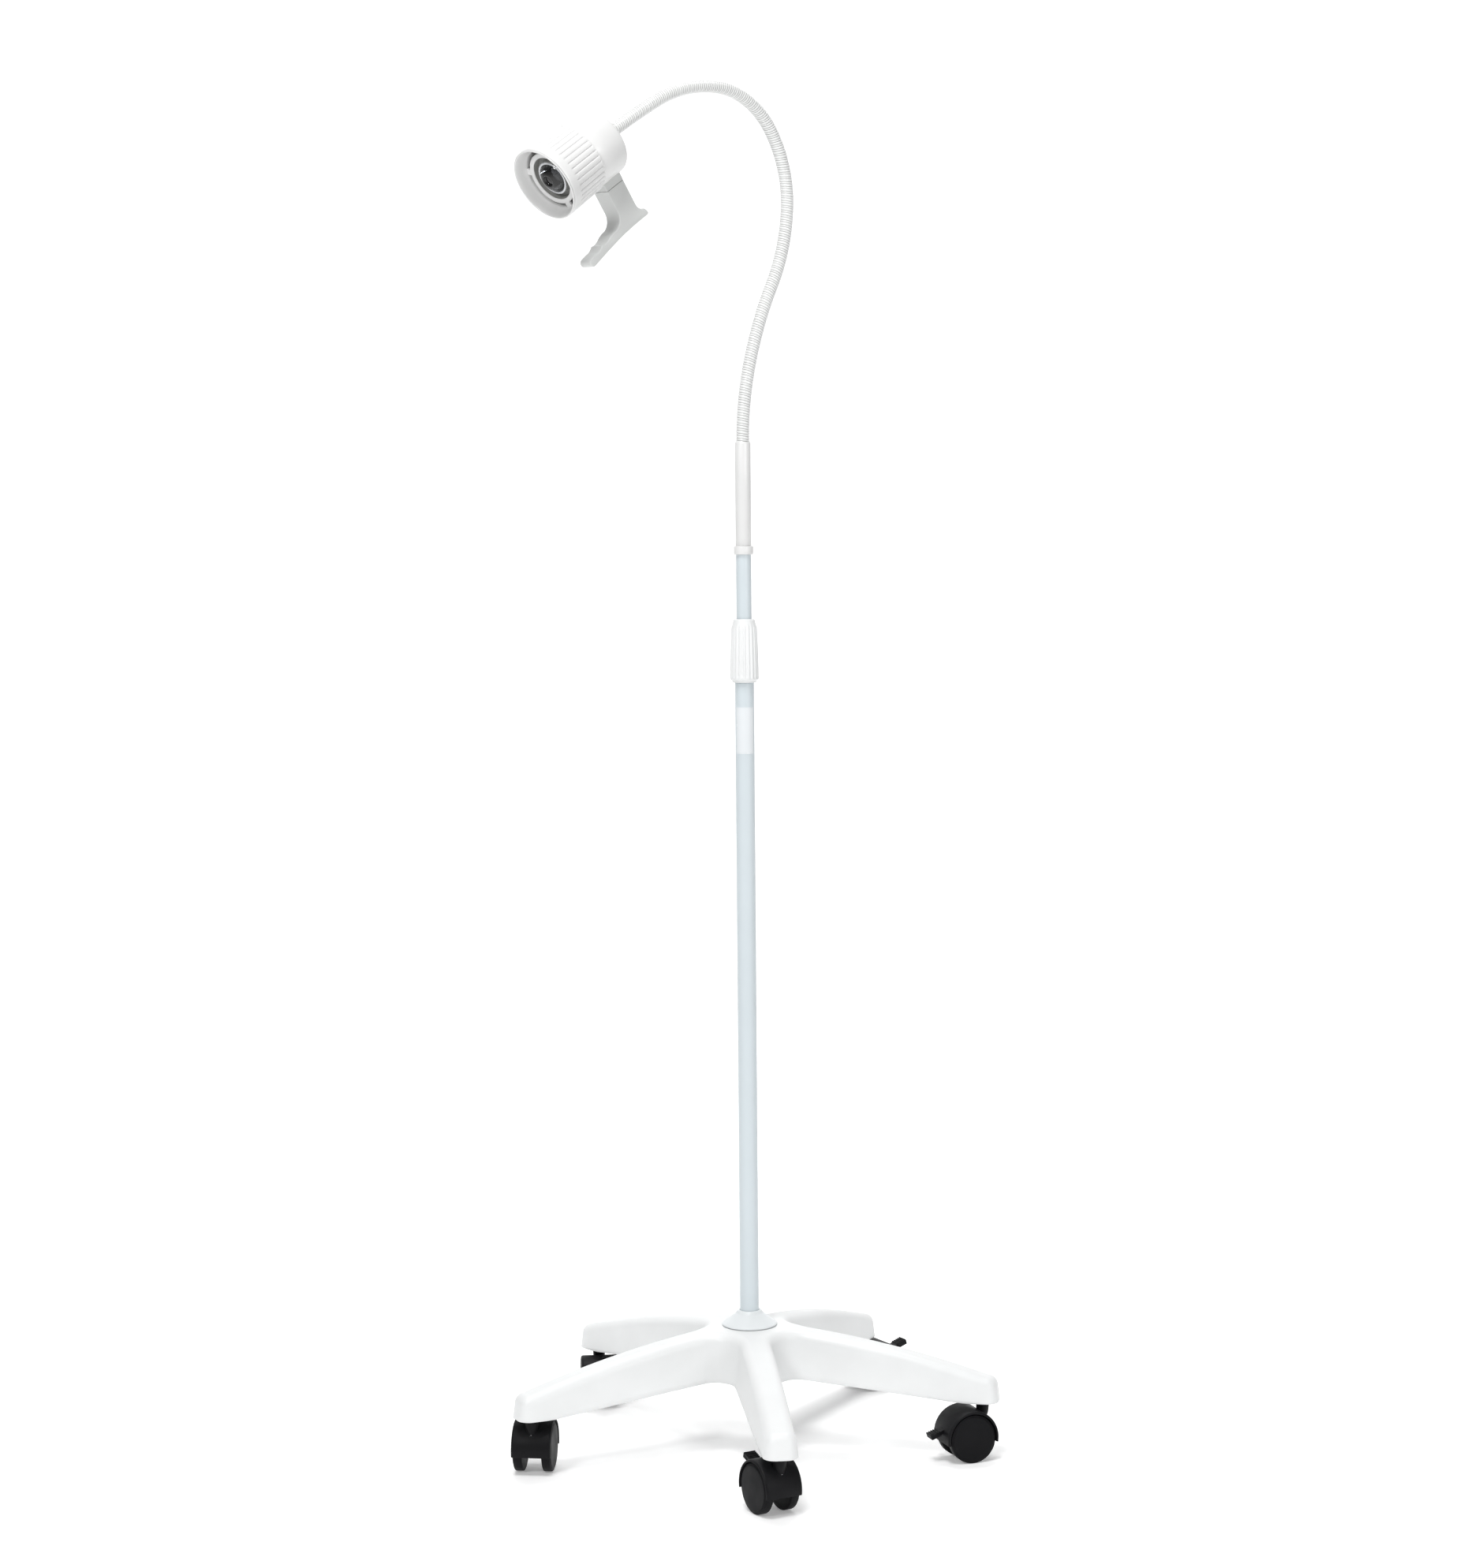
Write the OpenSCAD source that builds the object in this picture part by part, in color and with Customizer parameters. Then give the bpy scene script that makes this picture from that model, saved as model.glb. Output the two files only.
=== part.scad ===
// Mobile examination lamp: a five-leg star base on twin-wheel casters, a telescopic pole with
// a twist lock, a gooseneck, and a focusing LED head with a grip below it.
// Millimetres, +Z up. The origin is the point of the floor under the pole's axis.

/* [Base] */
// Radius from the pole to each caster's swivel axis
caster_circle_r = 247; // [200:5:300]
// Height of the legs' lower edge over the floor, at the casters
leg_foot_z = 59; // [59:0.5:64]
// Height of the top of the hub
hub_top_z = 127.5; // [120:0.5:140]
// Width of a leg at the caster
leg_tip_w = 37; // [34:1:42]
// Width of a leg where it meets the hub
leg_root_w = 50; // [44:1:54]
// Wall thickness of the moulding
star_wall = 3; // [2.5:0.5:4]
// Turn of the base about the pole: the angle of the first leg
base_turn = 6.6; // [-36:0.1:36]

/* [Casters] */
// Wheel diameter
wheel_d = 50; // [50:0.5:52]
// Width over both wheels
caster_w = 41; // [40:1:46]
// Distance from the swivel axis to the axle
caster_trail = 19; // [18:0.5:20]

/* [Pole] */
// Outer diameter of the lower tube
lower_d = 20; // [19.5:0.1:20.5]
// Outer diameter of the upper tube
upper_d = 16; // [15.8:0.1:16.2]
// Wall thickness of both tubes
tube_wall = 1.5; // [1.4:0.05:1.5]
// Height of the lower tube's top end
lower_top_z = 842; // [700:1:900]
// Height of the lock collar's lower edge
collar_z = 806; // [664:1:864]
// Height of the upper tube's top end
upper_top_z = 950; // [900:1:1200]
// Length of the upper tube
upper_len = 650; // [400:5:680]
// Length of the sleeve that holds the gooseneck
sleeve_len = 110; // [80:1:140]

/* [Gooseneck] */
// Outer diameter
neck_d = 13.5; // [12.5:0.1:14]
// Length of each of the stiff lengths
link_len = 87; // [70:1:100]
// Bearing of the gooseneck's plane, in front of the left-hand side
neck_bearing = 41; // [0:1:90]

/* [Head] */
// Length from the rear face to the front rim
head_len = 89; // [85:1:95]
// Outer diameter at the front rim
head_d = 80.5; // [80:0.5:82]
// Outer diameter of the rear housing
housing_d = 75; // [74.5:0.5:76]
// Number of grip grooves in the focus ring
ring_grooves = 40; // [30:1:48]
// Width of the grip
grip_w = 22.5; // [20:0.5:25]

/* [Hidden] */

LEGS = 5;
eps = 0.01;         // overlap of cuts with open space
far = 400;          // longer than anything it cuts
run_gap = 0.06;     // radial clearance of a running fit
free_gap = 0.3;     // clearance of parts that only pass each other

// colours
white = [0.93, 0.94, 0.94];
pale_blue = [0.80, 0.85, 0.87];
grey = [0.62, 0.65, 0.66];
black = [0.09, 0.09, 0.10];
steel = [0.72, 0.73, 0.75];
board_green = [0.10, 0.35, 0.20];
clear = [0.85, 0.92, 0.95];

// ---- base ----
leg_angles = [for (k = [0 : LEGS - 1]) -90 + base_turn + 360 / LEGS * k];
leg_end_r = caster_circle_r + leg_tip_w / 2 - 0.5;
leg_corner_r = 11;
crotch_r = 24;              // fillet between two legs
hub_flat_r = 42;            // flat top of the hub
leg_top_slope = 6;          // fall of the leg's top where it leaves the hub, degrees
leg_top_r = 1100;           // radius of the leg's arched top, in side view
root_bottom_z = 78;         // lower edge of the star near the hub
boss_r = 27;
bush_r = 16;
bush_z = 84;
stem_r = 5.5;
stem_len = 21;
socket_boss_r = 10;
rib_t = 2.5;
rib_radii = [92, 142, 192];

// centre of the arc of the legs' top, in side view
arc_cx = hub_flat_r - leg_top_r * sin(leg_top_slope);
arc_cz = hub_top_z - leg_top_r * cos(leg_top_slope);
function leg_top_z(r) = arc_cz + sqrt(pow(leg_top_r, 2) - pow(r - arc_cx, 2));

// ---- casters ----
// heading of each caster, from the swivel axis to the axle, and whether its brake is down
caster_headings = [120, 200, 30, 275, 83];
brake_down = [false, true, false, false, false];
wheel_r = wheel_d / 2;
hood_r = wheel_r + 3.5;
hood_t = 1.5;
wheel_w = 10.5;
hood_end = -10;             // the hood's lower edges, degrees below the axle
axle_r = 3;
web_w = caster_w - 2 * wheel_w - 1.5;
pivot_x = 31;
pivot_z = 37;
pivot_r = 1.5;
brake_w = 11;
brake_up = 18;              // slope of the pedal when the brake is off
brake_travel = 36;

// ---- pole ----
lower_r = lower_d / 2;
upper_r = upper_d / 2;
lower_bore_r = lower_r - tube_wall;
upper_bore_r = upper_r - tube_wall;
lower_foot_z = 92;
upper_foot_z = upper_top_z - upper_len;
grommet_z = 190;
label_z = 731;
label_h = 49;
label_t = 0.2;
ring_h = 9;
ring_r = 10.3;
sleeve_r = 8.3;
neck_seat = 25;             // depth of the gooseneck's end in the sleeve
cable_r = 2.5;

// ---- gooseneck ----
// turn of each stiff length, towards the head, in degrees
neck_turns = [-15, -12.5, 24.5, 37.5, 53.5, 31, 5];
neck_r = neck_d / 2;
LINKS = len(neck_turns);
sleeve_top_z = upper_top_z + sleeve_len;
ball_r = neck_r - 0.55;
cup_r = ball_r + free_gap;
ball_gap = 2.8;             // from a joint to the end of the tube below it
cup_gap = 2.6;              // from a joint to the end of the tube above it
spigot_bar_r = cable_r + 2.5;   // threaded end in the head

// slope and place of the chain at the start of length i, in the gooseneck's own plane
function slope(i) = i <= 0 ? 0 : slope(i - 1) + neck_turns[i - 1];
function chord_slope(i) = slope(i) + neck_turns[i] / 2;
function chord(i) = link_len * sin(neck_turns[i] / 2) / (neck_turns[i] / 2 * PI / 180);
function place(i) = i <= 0 ? [0, sleeve_top_z]
    : place(i - 1) + chord(i - 1) * [sin(chord_slope(i - 1)), cos(chord_slope(i - 1))];

// ---- head ----
head_r = head_d / 2;
housing_r = housing_d / 2;
housing_t = 2.4;
housing_len = 38;
spigot_r = 36.2;
spigot_end = 53;
ring_start = housing_len + 0.4;
ring_end = head_len - 1.8;
ring_bore_r = 36.6;         // bore of the focus ring's rear part
ring_front_bore_r = 38.4;   // and of its front part
ring_step = 68;             // where the bore changes
ring_rear_r = 39;
groove_end = 76.5;
funnel_r = 38;              // mouth of the funnel
funnel_floor = head_len - 12;
funnel_floor_r = 33;
carrier_travel = 6;
lug_angles = [10, 130, 250];
lens_r = 17;
lens_rim_z = head_len - 13.5;
lens_flange = 2;
button_x = -21;
button_r = 5;
button_travel = 1.5;
board_z = 12.6;
standoffs = [[-14, -11], [-14, 11], [12.5, 0]];
screw_angles = [0, 120, 240];
screw_circle_r = 25;
mount_len = 25;
mount_z = 5.5;
mount_low = 44;             // lower face of the handle's mount, below the head's axis
grip_low = 91;              // sole of the grip, below the head's axis

// ================= helpers =================

module tube(r_out, r_in, h) {
    difference() {
        cylinder(r = r_out, h = h, $fn = 96);
        translate([0, 0, -1]) cylinder(r = r_in, h = h + 2, $fn = 96);
    }
}

// a frame at the start of gooseneck length i: z along it, x to the inside of the head's bend
module at_link(i) {
    rotate([0, 0, 180 + neck_bearing])
        translate([place(i)[0], 0, place(i)[1]])
            rotate([0, slope(i), 0]) children();
}

// the head's frame: z forwards from the rear face, x down to the grip
module at_head() {
    at_link(LINKS) children();
}

module at_leg(k) {
    rotate([0, 0, leg_angles[k]]) children();
}

// a caster's frame: the swivel axis up, x from it to the axle
module at_caster(k) {
    rotate([0, 0, leg_angles[k]]) translate([caster_circle_r, 0, 0])
        rotate([0, 0, caster_headings[k] - leg_angles[k]]) children();
}

// ================= base =================

// outline of one leg, drawn by `wall` inside its outer faces
module leg_plan(wall) {
    half_root = leg_root_w / 2 - wall;
    half_tip = leg_tip_w / 2 - wall;
    end = leg_end_r - wall;
    corner = leg_corner_r - wall;
    polygon([[0, -half_root], [end - corner, -half_tip], [end - corner, half_tip], [0, half_root]]);
    translate([end - corner - 1, corner - half_tip])
        square([corner + 1, 2 * (half_tip - corner)]);
    for (side = [-1, 1])
        translate([end - corner, side * (half_tip - corner)]) circle(r = corner, $fn = 48);
}

// web between two legs, whose outer edge is the fillet arc; the arc runs a hair into the legs,
// so that it crosses their sides at a clear angle
module crotch_plan(wall) {
    taper = atan((leg_root_w - leg_tip_w) / 2 / (leg_end_r - leg_corner_r));
    half_sector = 180 / LEGS;
    edge = (leg_root_w / 2 - wall) * cos(taper);
    arc = crotch_r + wall;
    reach = (arc + edge) / sin(half_sector + taper) - 0.3;
    in_leg = reach * [cos(half_sector), sin(half_sector)] - (arc + 3) * [sin(taper), cos(taper)];
    rotate(half_sector) difference() {
        rotate(-half_sector)
            polygon([[0, 0], in_leg, reach * [cos(half_sector), sin(half_sector)],
                [cos(2 * half_sector) * in_leg[0] + sin(2 * half_sector) * in_leg[1],
                 sin(2 * half_sector) * in_leg[0] - cos(2 * half_sector) * in_leg[1]]]);
        translate([reach, 0]) circle(r = arc, $fn = 96);
    }
}

module star_plan(wall) {
    for (k = [0 : LEGS - 1]) rotate(leg_angles[k]) {
        leg_plan(wall);
        crotch_plan(wall);
    }
}

// the star's side view, turned about the pole: flat hub, arched legs, sloping lower edge
module star_profile(inset, low) {
    steps = 7;
    outside = leg_end_r + 5;
    arch = [for (s = [0 : steps]) let (r = hub_flat_r + (outside - hub_flat_r) * s / steps)
        [r, leg_top_z(r) - inset]];
    rotate_extrude($fn = 120)
        polygon(concat([[0, root_bottom_z - low], [0, hub_top_z - inset]], arch,
            [[outside, leg_foot_z - low], [caster_circle_r - 15, leg_foot_z - low],
             [60, root_bottom_z - low]]));
}

module base_star() {
    color(white) difference() {
        union() {
            difference() {
                intersection() {
                    translate([0, 0, leg_foot_z - 5]) linear_extrude(hub_top_z) star_plan(0);
                    star_profile(0, 0);
                }
                intersection() {
                    translate([0, 0, leg_foot_z - 10]) linear_extrude(hub_top_z) star_plan(star_wall);
                    star_profile(star_wall, 5);
                }
            }
            intersection() {
                union() {
                    translate([0, 0, root_bottom_z + 2]) cylinder(r = boss_r, h = 48, $fn = 96);
                    for (k = [0 : LEGS - 1]) at_leg(k) leg_ribs();
                }
                star_profile(1, 0);
            }
        }
        translate([0, 0, bush_z]) cylinder(r = bush_r, h = far, $fn = 96);
        translate([0, 0, -eps]) cylinder(r = 9, h = far, $fn = 64);
        for (k = [0 : LEGS - 1]) at_leg(k) translate([caster_circle_r, 0, leg_foot_z - 10])
            cylinder(r = stem_r, h = stem_len + 10, $fn = 64);
    }
}

// cross ribs and the caster socket of one leg
module leg_ribs() {
    for (r = rib_radii)
        translate([r, -leg_root_w / 2 + star_wall / 2 + r * 0.025, leg_foot_z + 8])
            cube([rib_t, leg_root_w - star_wall - r * 0.05, 60]);
    translate([boss_r - 1, -rib_t / 2, leg_foot_z + 14])
        cube([caster_circle_r - boss_r - socket_boss_r + 2, rib_t, 60]);
    translate([caster_circle_r, 0, leg_foot_z]) cylinder(r = socket_boss_r, h = 40, $fn = 64);
}

module hub_cap() {
    foot = hub_top_z;
    color(grey) difference() {
        translate([0, 0, foot]) rotate_extrude($fn = 120)
            polygon([[0, 0], [28.5, 0], [29, 0.6], [29, 2], [28, 2.4], [13.5, 13.6], [12.4, 15.6],
                [11.6, 16.2], [0, 16.2]]);
        translate([0, 0, foot - 1]) cylinder(r = lower_r + run_gap, h = 20, $fn = 96);
        translate([0, 0, foot - eps]) rotate_extrude($fn = 120)
            polygon([[0, -1], [26.5, -1], [26.5, 1.2], [12.4, 11.6], [0, 11.6]]);
    }
}

module hub_bush() {
    color(steel) translate([0, 0, bush_z]) difference() {
        union() {
            cylinder(r = bush_r, h = hub_top_z - bush_z, $fn = 96);
            translate([0, 0, hub_top_z - bush_z]) cylinder(r = 22, h = 1, $fn = 96);
        }
        translate([0, 0, lower_foot_z - bush_z]) cylinder(r = lower_r, h = 60, $fn = 96);
        translate([0, 0, -1]) cylinder(r = 4.2, h = 20, $fn = 48);
    }
}

module tube_plug() {
    color(steel) translate([0, 0, lower_foot_z]) tube(lower_bore_r, 4, 24);
}

module hub_bolt() {
    washer = 2;
    head = 5.3;
    color(steel) translate([0, 0, bush_z]) {
        translate([0, 0, -washer]) tube(8.5, 4.15, washer);
        translate([0, 0, -washer - head]) {
            cylinder(r = 7.5, h = head, $fn = 6);
            cylinder(r = 4, h = head + washer + 30, $fn = 48);
        }
    }
}

module caster_stems() {
    color(steel) for (k = [0 : LEGS - 1]) at_leg(k) translate([caster_circle_r, 0, 0]) {
        translate([0, 0, leg_foot_z]) cylinder(r = stem_r, h = stem_len - 1, $fn = 64);
        translate([0, 0, leg_foot_z - 1.5]) cylinder(r = 7, h = 1.5, $fn = 64);
        translate([0, 0, 40]) cylinder(r = 4, h = leg_foot_z - 41, $fn = 48);
    }
}

// ================= casters =================

// the hood's outline in side view: a disc cut by two lines through the axle
module hood_sector(r) {
    translate([caster_trail, wheel_r]) difference() {
        circle(r = r, $fn = 96);
        polygon([[0, 0], far * [cos(hood_end), sin(hood_end)], [far, -far], [-far, -far],
            far * [-cos(hood_end), sin(hood_end)]]);
    }
}

module on_axle(width) {
    rotate([90, 0, 0]) translate([0, 0, -width / 2]) linear_extrude(width) children();
}

module caster_hood(k) {
    color(black) at_caster(k) difference() {
        union() {
            difference() {
                on_axle(caster_w) hood_sector(hood_r);
                on_axle(caster_w + 2) hood_sector(hood_r - hood_t);
            }
            on_axle(web_w) hood_sector(hood_r - 0.5);
            translate([caster_trail, 0, wheel_r]) rotate([90, 0, 0])
                cylinder(r = 7, h = web_w, center = true, $fn = 48);
            translate([0, 0, 36]) cylinder(r1 = 2.6, r2 = 7.2, h = 17, $fn = 64);
            translate([0, 0, 53]) cylinder(r = 7.2, h = leg_foot_z - 1.6 - 53, $fn = 64);
        }
        translate([0, 0, 39.5]) cylinder(r = 4 + run_gap, h = 30, $fn = 48);
        translate([caster_trail, 0, wheel_r]) rotate([90, 0, 0])
            cylinder(r = axle_r, h = far, center = true, $fn = 48);
        brake_slot();
    }
}

// room for the pedal over its whole travel, and its pivot pin's hole
module brake_slot() {
    slot = brake_w + 2 * free_gap;
    translate([pivot_x - 5, -slot / 2, pivot_z - 13]) cube([30, slot, 30]);
    translate([pivot_x, 0, pivot_z]) rotate([90, 0, 0])
        cylinder(r = pivot_r + 0.02, h = web_w + 1, center = true, $fn = 32);
}

module caster_axle(k) {
    color(steel) at_caster(k) translate([caster_trail, 0, wheel_r]) rotate([90, 0, 0])
        cylinder(r = axle_r, h = caster_w - 4, center = true, $fn = 48);
}

// side +1 is the left wheel and -1 the right, seen along the heading
module caster_wheel(k, side) {
    color(black) at_caster(k) translate([caster_trail, 0, wheel_r])
        rotate([-90 * side, 0, 0]) translate([0, 0, caster_w / 2 - wheel_w]) difference() {
            rotate_extrude($fn = 96)
                polygon([[0, 0], [wheel_r - 1, 0], [wheel_r, 1], [wheel_r, wheel_w - 2.2],
                    [wheel_r - 1.4, wheel_w - 0.5], [wheel_r - 3, wheel_w - 0.3], [0, wheel_w]]);
            translate([0, 0, -1]) cylinder(r = axle_r + run_gap, h = wheel_w - 0.5, $fn = 48);
            rotate_extrude($fn = 96)
                polygon([[7, -1], [wheel_r - 4, -1], [wheel_r - 4, wheel_w - 3], [7, wheel_w - 3]]);
        }
}

module caster_brake(k) {
    rest = brake_up - (brake_down[k] ? brake_travel : 0);
    color(black) at_caster(k) translate([pivot_x, 0, pivot_z]) rotate([0, -rest, 0]) {
        rotate([90, 0, 0]) {
            cylinder(r = 3, h = brake_w, center = true, $fn = 32);
            cylinder(r = pivot_r, h = web_w - 1, center = true, $fn = 32);
        }
        translate([0, -brake_w / 2, -2]) cube([20, brake_w, 4]);
        translate([19, -brake_w / 2 - 1, -3]) cube([12.5, brake_w + 2, 5]);
        for (n = [0 : 4]) translate([20 + 2.4 * n, -brake_w / 2 - 1, 2])
            cube([1.2, brake_w + 2, 1]);
    }
}

// ================= pole =================

module lower_tube() {
    color(pale_blue) difference() {
        translate([0, 0, lower_foot_z]) tube(lower_r, lower_bore_r, lower_top_z - lower_foot_z);
        translate([0, 0, grommet_z]) rotate([-90, 0, 0]) cylinder(r = 4.5, h = 30, $fn = 48);
    }
}

module cable_grommet() {
    color(black) difference() {
        translate([0, 0, grommet_z]) rotate([-90, 0, 0]) {
            translate([0, 0, lower_r - 2.2]) cylinder(r = 4.5, h = 4, $fn = 48);
            translate([0, 0, lower_r - 0.6]) cylinder(r1 = 7.5, r2 = 6, h = 4, $fn = 48);
        }
        translate([0, 0, grommet_z]) rotate([-90, 0, 0]) cylinder(r = 3.2, h = 30, $fn = 48);
        translate([0, 0, grommet_z]) grommet_seat();
    }
}

// the tube's wall around the hole, which the grommet's flange sits on
module grommet_seat() {
    difference() {
        translate([0, 0, -20]) tube(lower_r, lower_bore_r, 40);
        rotate([-90, 0, 0]) cylinder(r = 4.5, h = 30, $fn = 48);
    }
}

module tube_label() {
    color([0.96, 0.96, 0.95]) translate([0, 0, label_z]) rotate([0, 0, -150])
        rotate_extrude(angle = 120, $fn = 96) translate([lower_r, 0]) square([label_t, label_h]);
}

module lock_body() {
    slit = 2;
    color(grey) difference() {
        translate([0, 0, lower_top_z - 32]) rotate_extrude($fn = 96)
            polygon([[upper_r + 0.1, 32], [lower_r, 32], [lower_r, 0], [11.5, 0], [11.5, 34],
                [10.5, 36], [9.6, 56], [upper_r + 0.1, 56]]);
        for (a = [0, 90]) translate([0, 0, lower_top_z + 4]) rotate([0, 0, a])
            translate([-far / 2, -slit / 2, 0]) cube([far, slit, far]);
    }
}

module lock_collar() {
    color(white) translate([0, 0, collar_z]) difference() {
        rotate_extrude($fn = 120)
            polygon([[11.9, 0], [12.4, 0], [12.4, 1.6], [14.4, 2.2], [15, 3.6], [15, 24], [13.6, 52],
                [11.4, 66.2], [10.8, 67], [upper_r + free_gap, 67], [upper_r + free_gap, 63.5],
                [10.9, 63], [11.9, 40]]);
        for (n = [0 : 19]) rotate([0, 0, 18 * n]) translate([15.9, 0, 4.5])
            rotate([0, -2.9, 0]) cylinder(r = 1.8, h = 56, $fn = 32);
    }
}

module guide_bush() {
    collar = 22;
    color(grey) translate([0, 0, upper_foot_z]) difference() {
        union() {
            translate([0, 0, -collar]) cylinder(r = lower_bore_r - 0.1, h = collar - 0.1, $fn = 96);
            translate([0, 0, -1]) cylinder(r = upper_bore_r - run_gap, h = 31, $fn = 96);
        }
        translate([0, 0, -collar - 1]) cylinder(r = 4, h = 80, $fn = 48);
    }
}

module upper_tube() {
    color(pale_blue) translate([0, 0, upper_foot_z]) tube(upper_r, upper_bore_r, upper_len);
}

module mast_ring() {
    chamfer = 0.8;
    color(white) translate([0, 0, upper_top_z - ring_h]) rotate_extrude($fn = 96)
        polygon([[upper_r, 0], [ring_r - chamfer, 0], [ring_r, chamfer], [ring_r, ring_h - chamfer],
            [ring_r - chamfer, ring_h], [upper_r, ring_h]]);
}

module neck_sleeve() {
    color(white) difference() {
        union() {
            translate([0, 0, upper_top_z - 25]) cylinder(r = upper_bore_r, h = 26, $fn = 96);
            translate([0, 0, upper_top_z]) cylinder(r = sleeve_r, h = sleeve_len, $fn = 96);
        }
        translate([0, 0, upper_top_z - 30]) cylinder(r = cable_r + 1, h = far, $fn = 48);
        translate([0, 0, sleeve_top_z - neck_seat]) cylinder(r = neck_r, h = far, $fn = 96);
    }
}

// ================= gooseneck =================

// a round bar along part of length i: from `from` to `to` along its middle line
module bent_bar(i, r, from, to) {
    turn = neck_turns[i];
    bend_r = link_len / (abs(turn) * PI / 180);
    rotate([90, 0, turn > 0 ? 180 : 0]) translate([-bend_r, 0, 0])
        rotate_extrude(angle = abs(turn) * (to - from) / link_len,
            start = abs(turn) * from / link_len, $fn = 96)
            translate([bend_r, 0]) circle(r = r, $fn = 48);
}

module link(i) {
    first = i == 0;
    last = i == LINKS - 1;
    past = 8;
    color(white) at_link(i) difference() {
        union() {
            bent_bar(i, neck_r, first ? 0 : cup_gap, last ? link_len : link_len - ball_gap);
            if (first) translate([0, 0, -neck_seat]) cylinder(r = neck_r, h = neck_seat, $fn = 48);
            if (!last) link_end(i) sphere(r = ball_r, $fn = 64);
            if (last) link_end(i) translate([0, 0, -1])
                cylinder(r = spigot_bar_r, h = 13, $fn = 48);
        }
        if (!first) sphere(r = cup_r, $fn = 64);
        if (first) translate([0, 0, -neck_seat - 1])
            cylinder(r = cable_r + 0.1, h = neck_seat + 2, $fn = 48);
        bent_bar(i, cable_r, first ? 0 : -past, last ? link_len : link_len + past);
        if (last) link_end(i) translate([0, 0, -1]) cylinder(r = cable_r + 0.1, h = 20, $fn = 48);
    }
}

// the frame at the far end of length i, inside at_link(i)
module link_end(i) {
    turn = neck_turns[i];
    translate(chord(i) * [sin(turn / 2), 0, cos(turn / 2)]) rotate([0, turn, 0]) children();
}

// ================= head =================

module neck_nut() {
    color(steel) at_head() translate([0, 0, housing_t]) difference() {
        cylinder(r = 9.5, h = 5, $fn = 6);
        translate([0, 0, -1]) cylinder(r = spigot_bar_r, h = 8, $fn = 48);
    }
}

module rear_housing() {
    color(white) at_head() {
        for (p = standoffs) translate([p[0], p[1], housing_t - 0.5])
            cylinder(r = 2.4, h = board_z - housing_t + 0.5, $fn = 32);
        housing_shell();
    }
}

module housing_shell() {
    difference() {
        rotate_extrude($fn = 120) difference() {
            union() {
                square([housing_r - 4, housing_len]);
                translate([0, 4]) square([housing_r, housing_len - 4]);
                translate([housing_r - 4, 4]) circle(r = 4, $fn = 48);
                translate([0, housing_len - 4]) square([spigot_r, spigot_end - housing_len + 4]);
            }
            translate([-1, housing_t]) square([spigot_r - 2.4 + 1, far]);
            translate([-far, -1]) square([far, far]);
        }
        translate([0, 0, -1]) cylinder(r = spigot_bar_r, h = 10, $fn = 48);
        translate([button_x, 0, -1]) cylinder(r = button_r + free_gap, h = 10, $fn = 48);
        for (a = screw_angles) rotate([0, 0, a]) translate([screw_circle_r, 0, -1]) {
            cylinder(r = 1.6, h = 10, $fn = 32);
            cylinder(r = 3.1, h = 2, $fn = 32);
        }
    }
}

module front_bezel() {
    skin_r = ring_bore_r - free_gap;
    front_skin_r = ring_front_bore_r - free_gap;
    color(white) at_head() difference() {
        rotate_extrude($fn = 120)
            polygon([[skin_r, spigot_end], [skin_r, ring_step + free_gap],
                [front_skin_r, ring_step + free_gap], [front_skin_r, ring_end + free_gap],
                [head_r - 1.2, ring_end + free_gap], [head_r - 0.4, ring_end + free_gap + 0.6],
                [head_r - 0.6, head_len - 0.5], [head_r - 1.1, head_len], [funnel_r + 0.6, head_len],
                [funnel_r, head_len - 0.6], [funnel_r - 1.6, head_len - 3],
                [funnel_floor_r, funnel_floor], [funnel_floor_r, spigot_end]]);
        for (a = lug_angles) rotate([0, 0, a])
            translate([funnel_floor_r - 5, -5, funnel_floor - 3.5 - carrier_travel])
                cube([12, 10, carrier_travel + 6]);
    }
}

module focus_ring() {
    color(white) at_head() difference() {
        rotate_extrude($fn = 120)
            polygon([[ring_bore_r, ring_start], [ring_rear_r - 0.5, ring_start],
                [ring_rear_r, ring_start + 0.5], [head_r - 0.1, ring_end - 0.8],
                [head_r - 0.5, ring_end], [ring_front_bore_r, ring_end],
                [ring_front_bore_r, ring_step], [ring_bore_r, ring_step]]);
        for (n = [0 : ring_grooves - 1]) rotate([0, 0, 360 / ring_grooves * n])
            translate([ring_rear_r + 0.9, 0, ring_start - 1]) rotate([0, 1.35, 0])
                cylinder(r = 1.5, h = groove_end - ring_start + 1, $fn = 24);
    }
}

module lens_carrier() {
    rim_r = 24;
    skirt_r = 27;
    seat = lens_rim_z - lens_flange;
    color(white) at_head() difference() {
        union() {
            rotate_extrude($fn = 120)
                polygon([[lens_r + 0.05, seat], [lens_r + 0.05, seat + 1.9],
                    [lens_r + 1.6, seat + 1.9], [lens_r + 1.6, funnel_floor - 9],
                    [rim_r, funnel_floor - 9],
                    [rim_r, funnel_floor], [funnel_floor_r - 1, funnel_floor],
                    [funnel_floor_r - free_gap, funnel_floor - 0.7],
                    [funnel_floor_r - free_gap, funnel_floor - 3], [skirt_r, funnel_floor - 3],
                    [skirt_r, funnel_floor - 19], [lens_r + 3, funnel_floor - 19],
                    [lens_r + 3, funnel_floor - 12], [lens_r - 0.7, funnel_floor - 12],
                    [lens_r - 0.7, seat]]);
            for (a = lug_angles) rotate([0, 0, a])
                translate([skirt_r + 2, -4.5, funnel_floor - 2.8]) cube([6.8, 9, 2.8]);
        }
        for (a = [-45, -25]) rotate([0, 0, a]) translate([funnel_floor_r, 0, 0])
            cylinder(r = 1.2, h = far, $fn = 24);
    }
}

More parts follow.
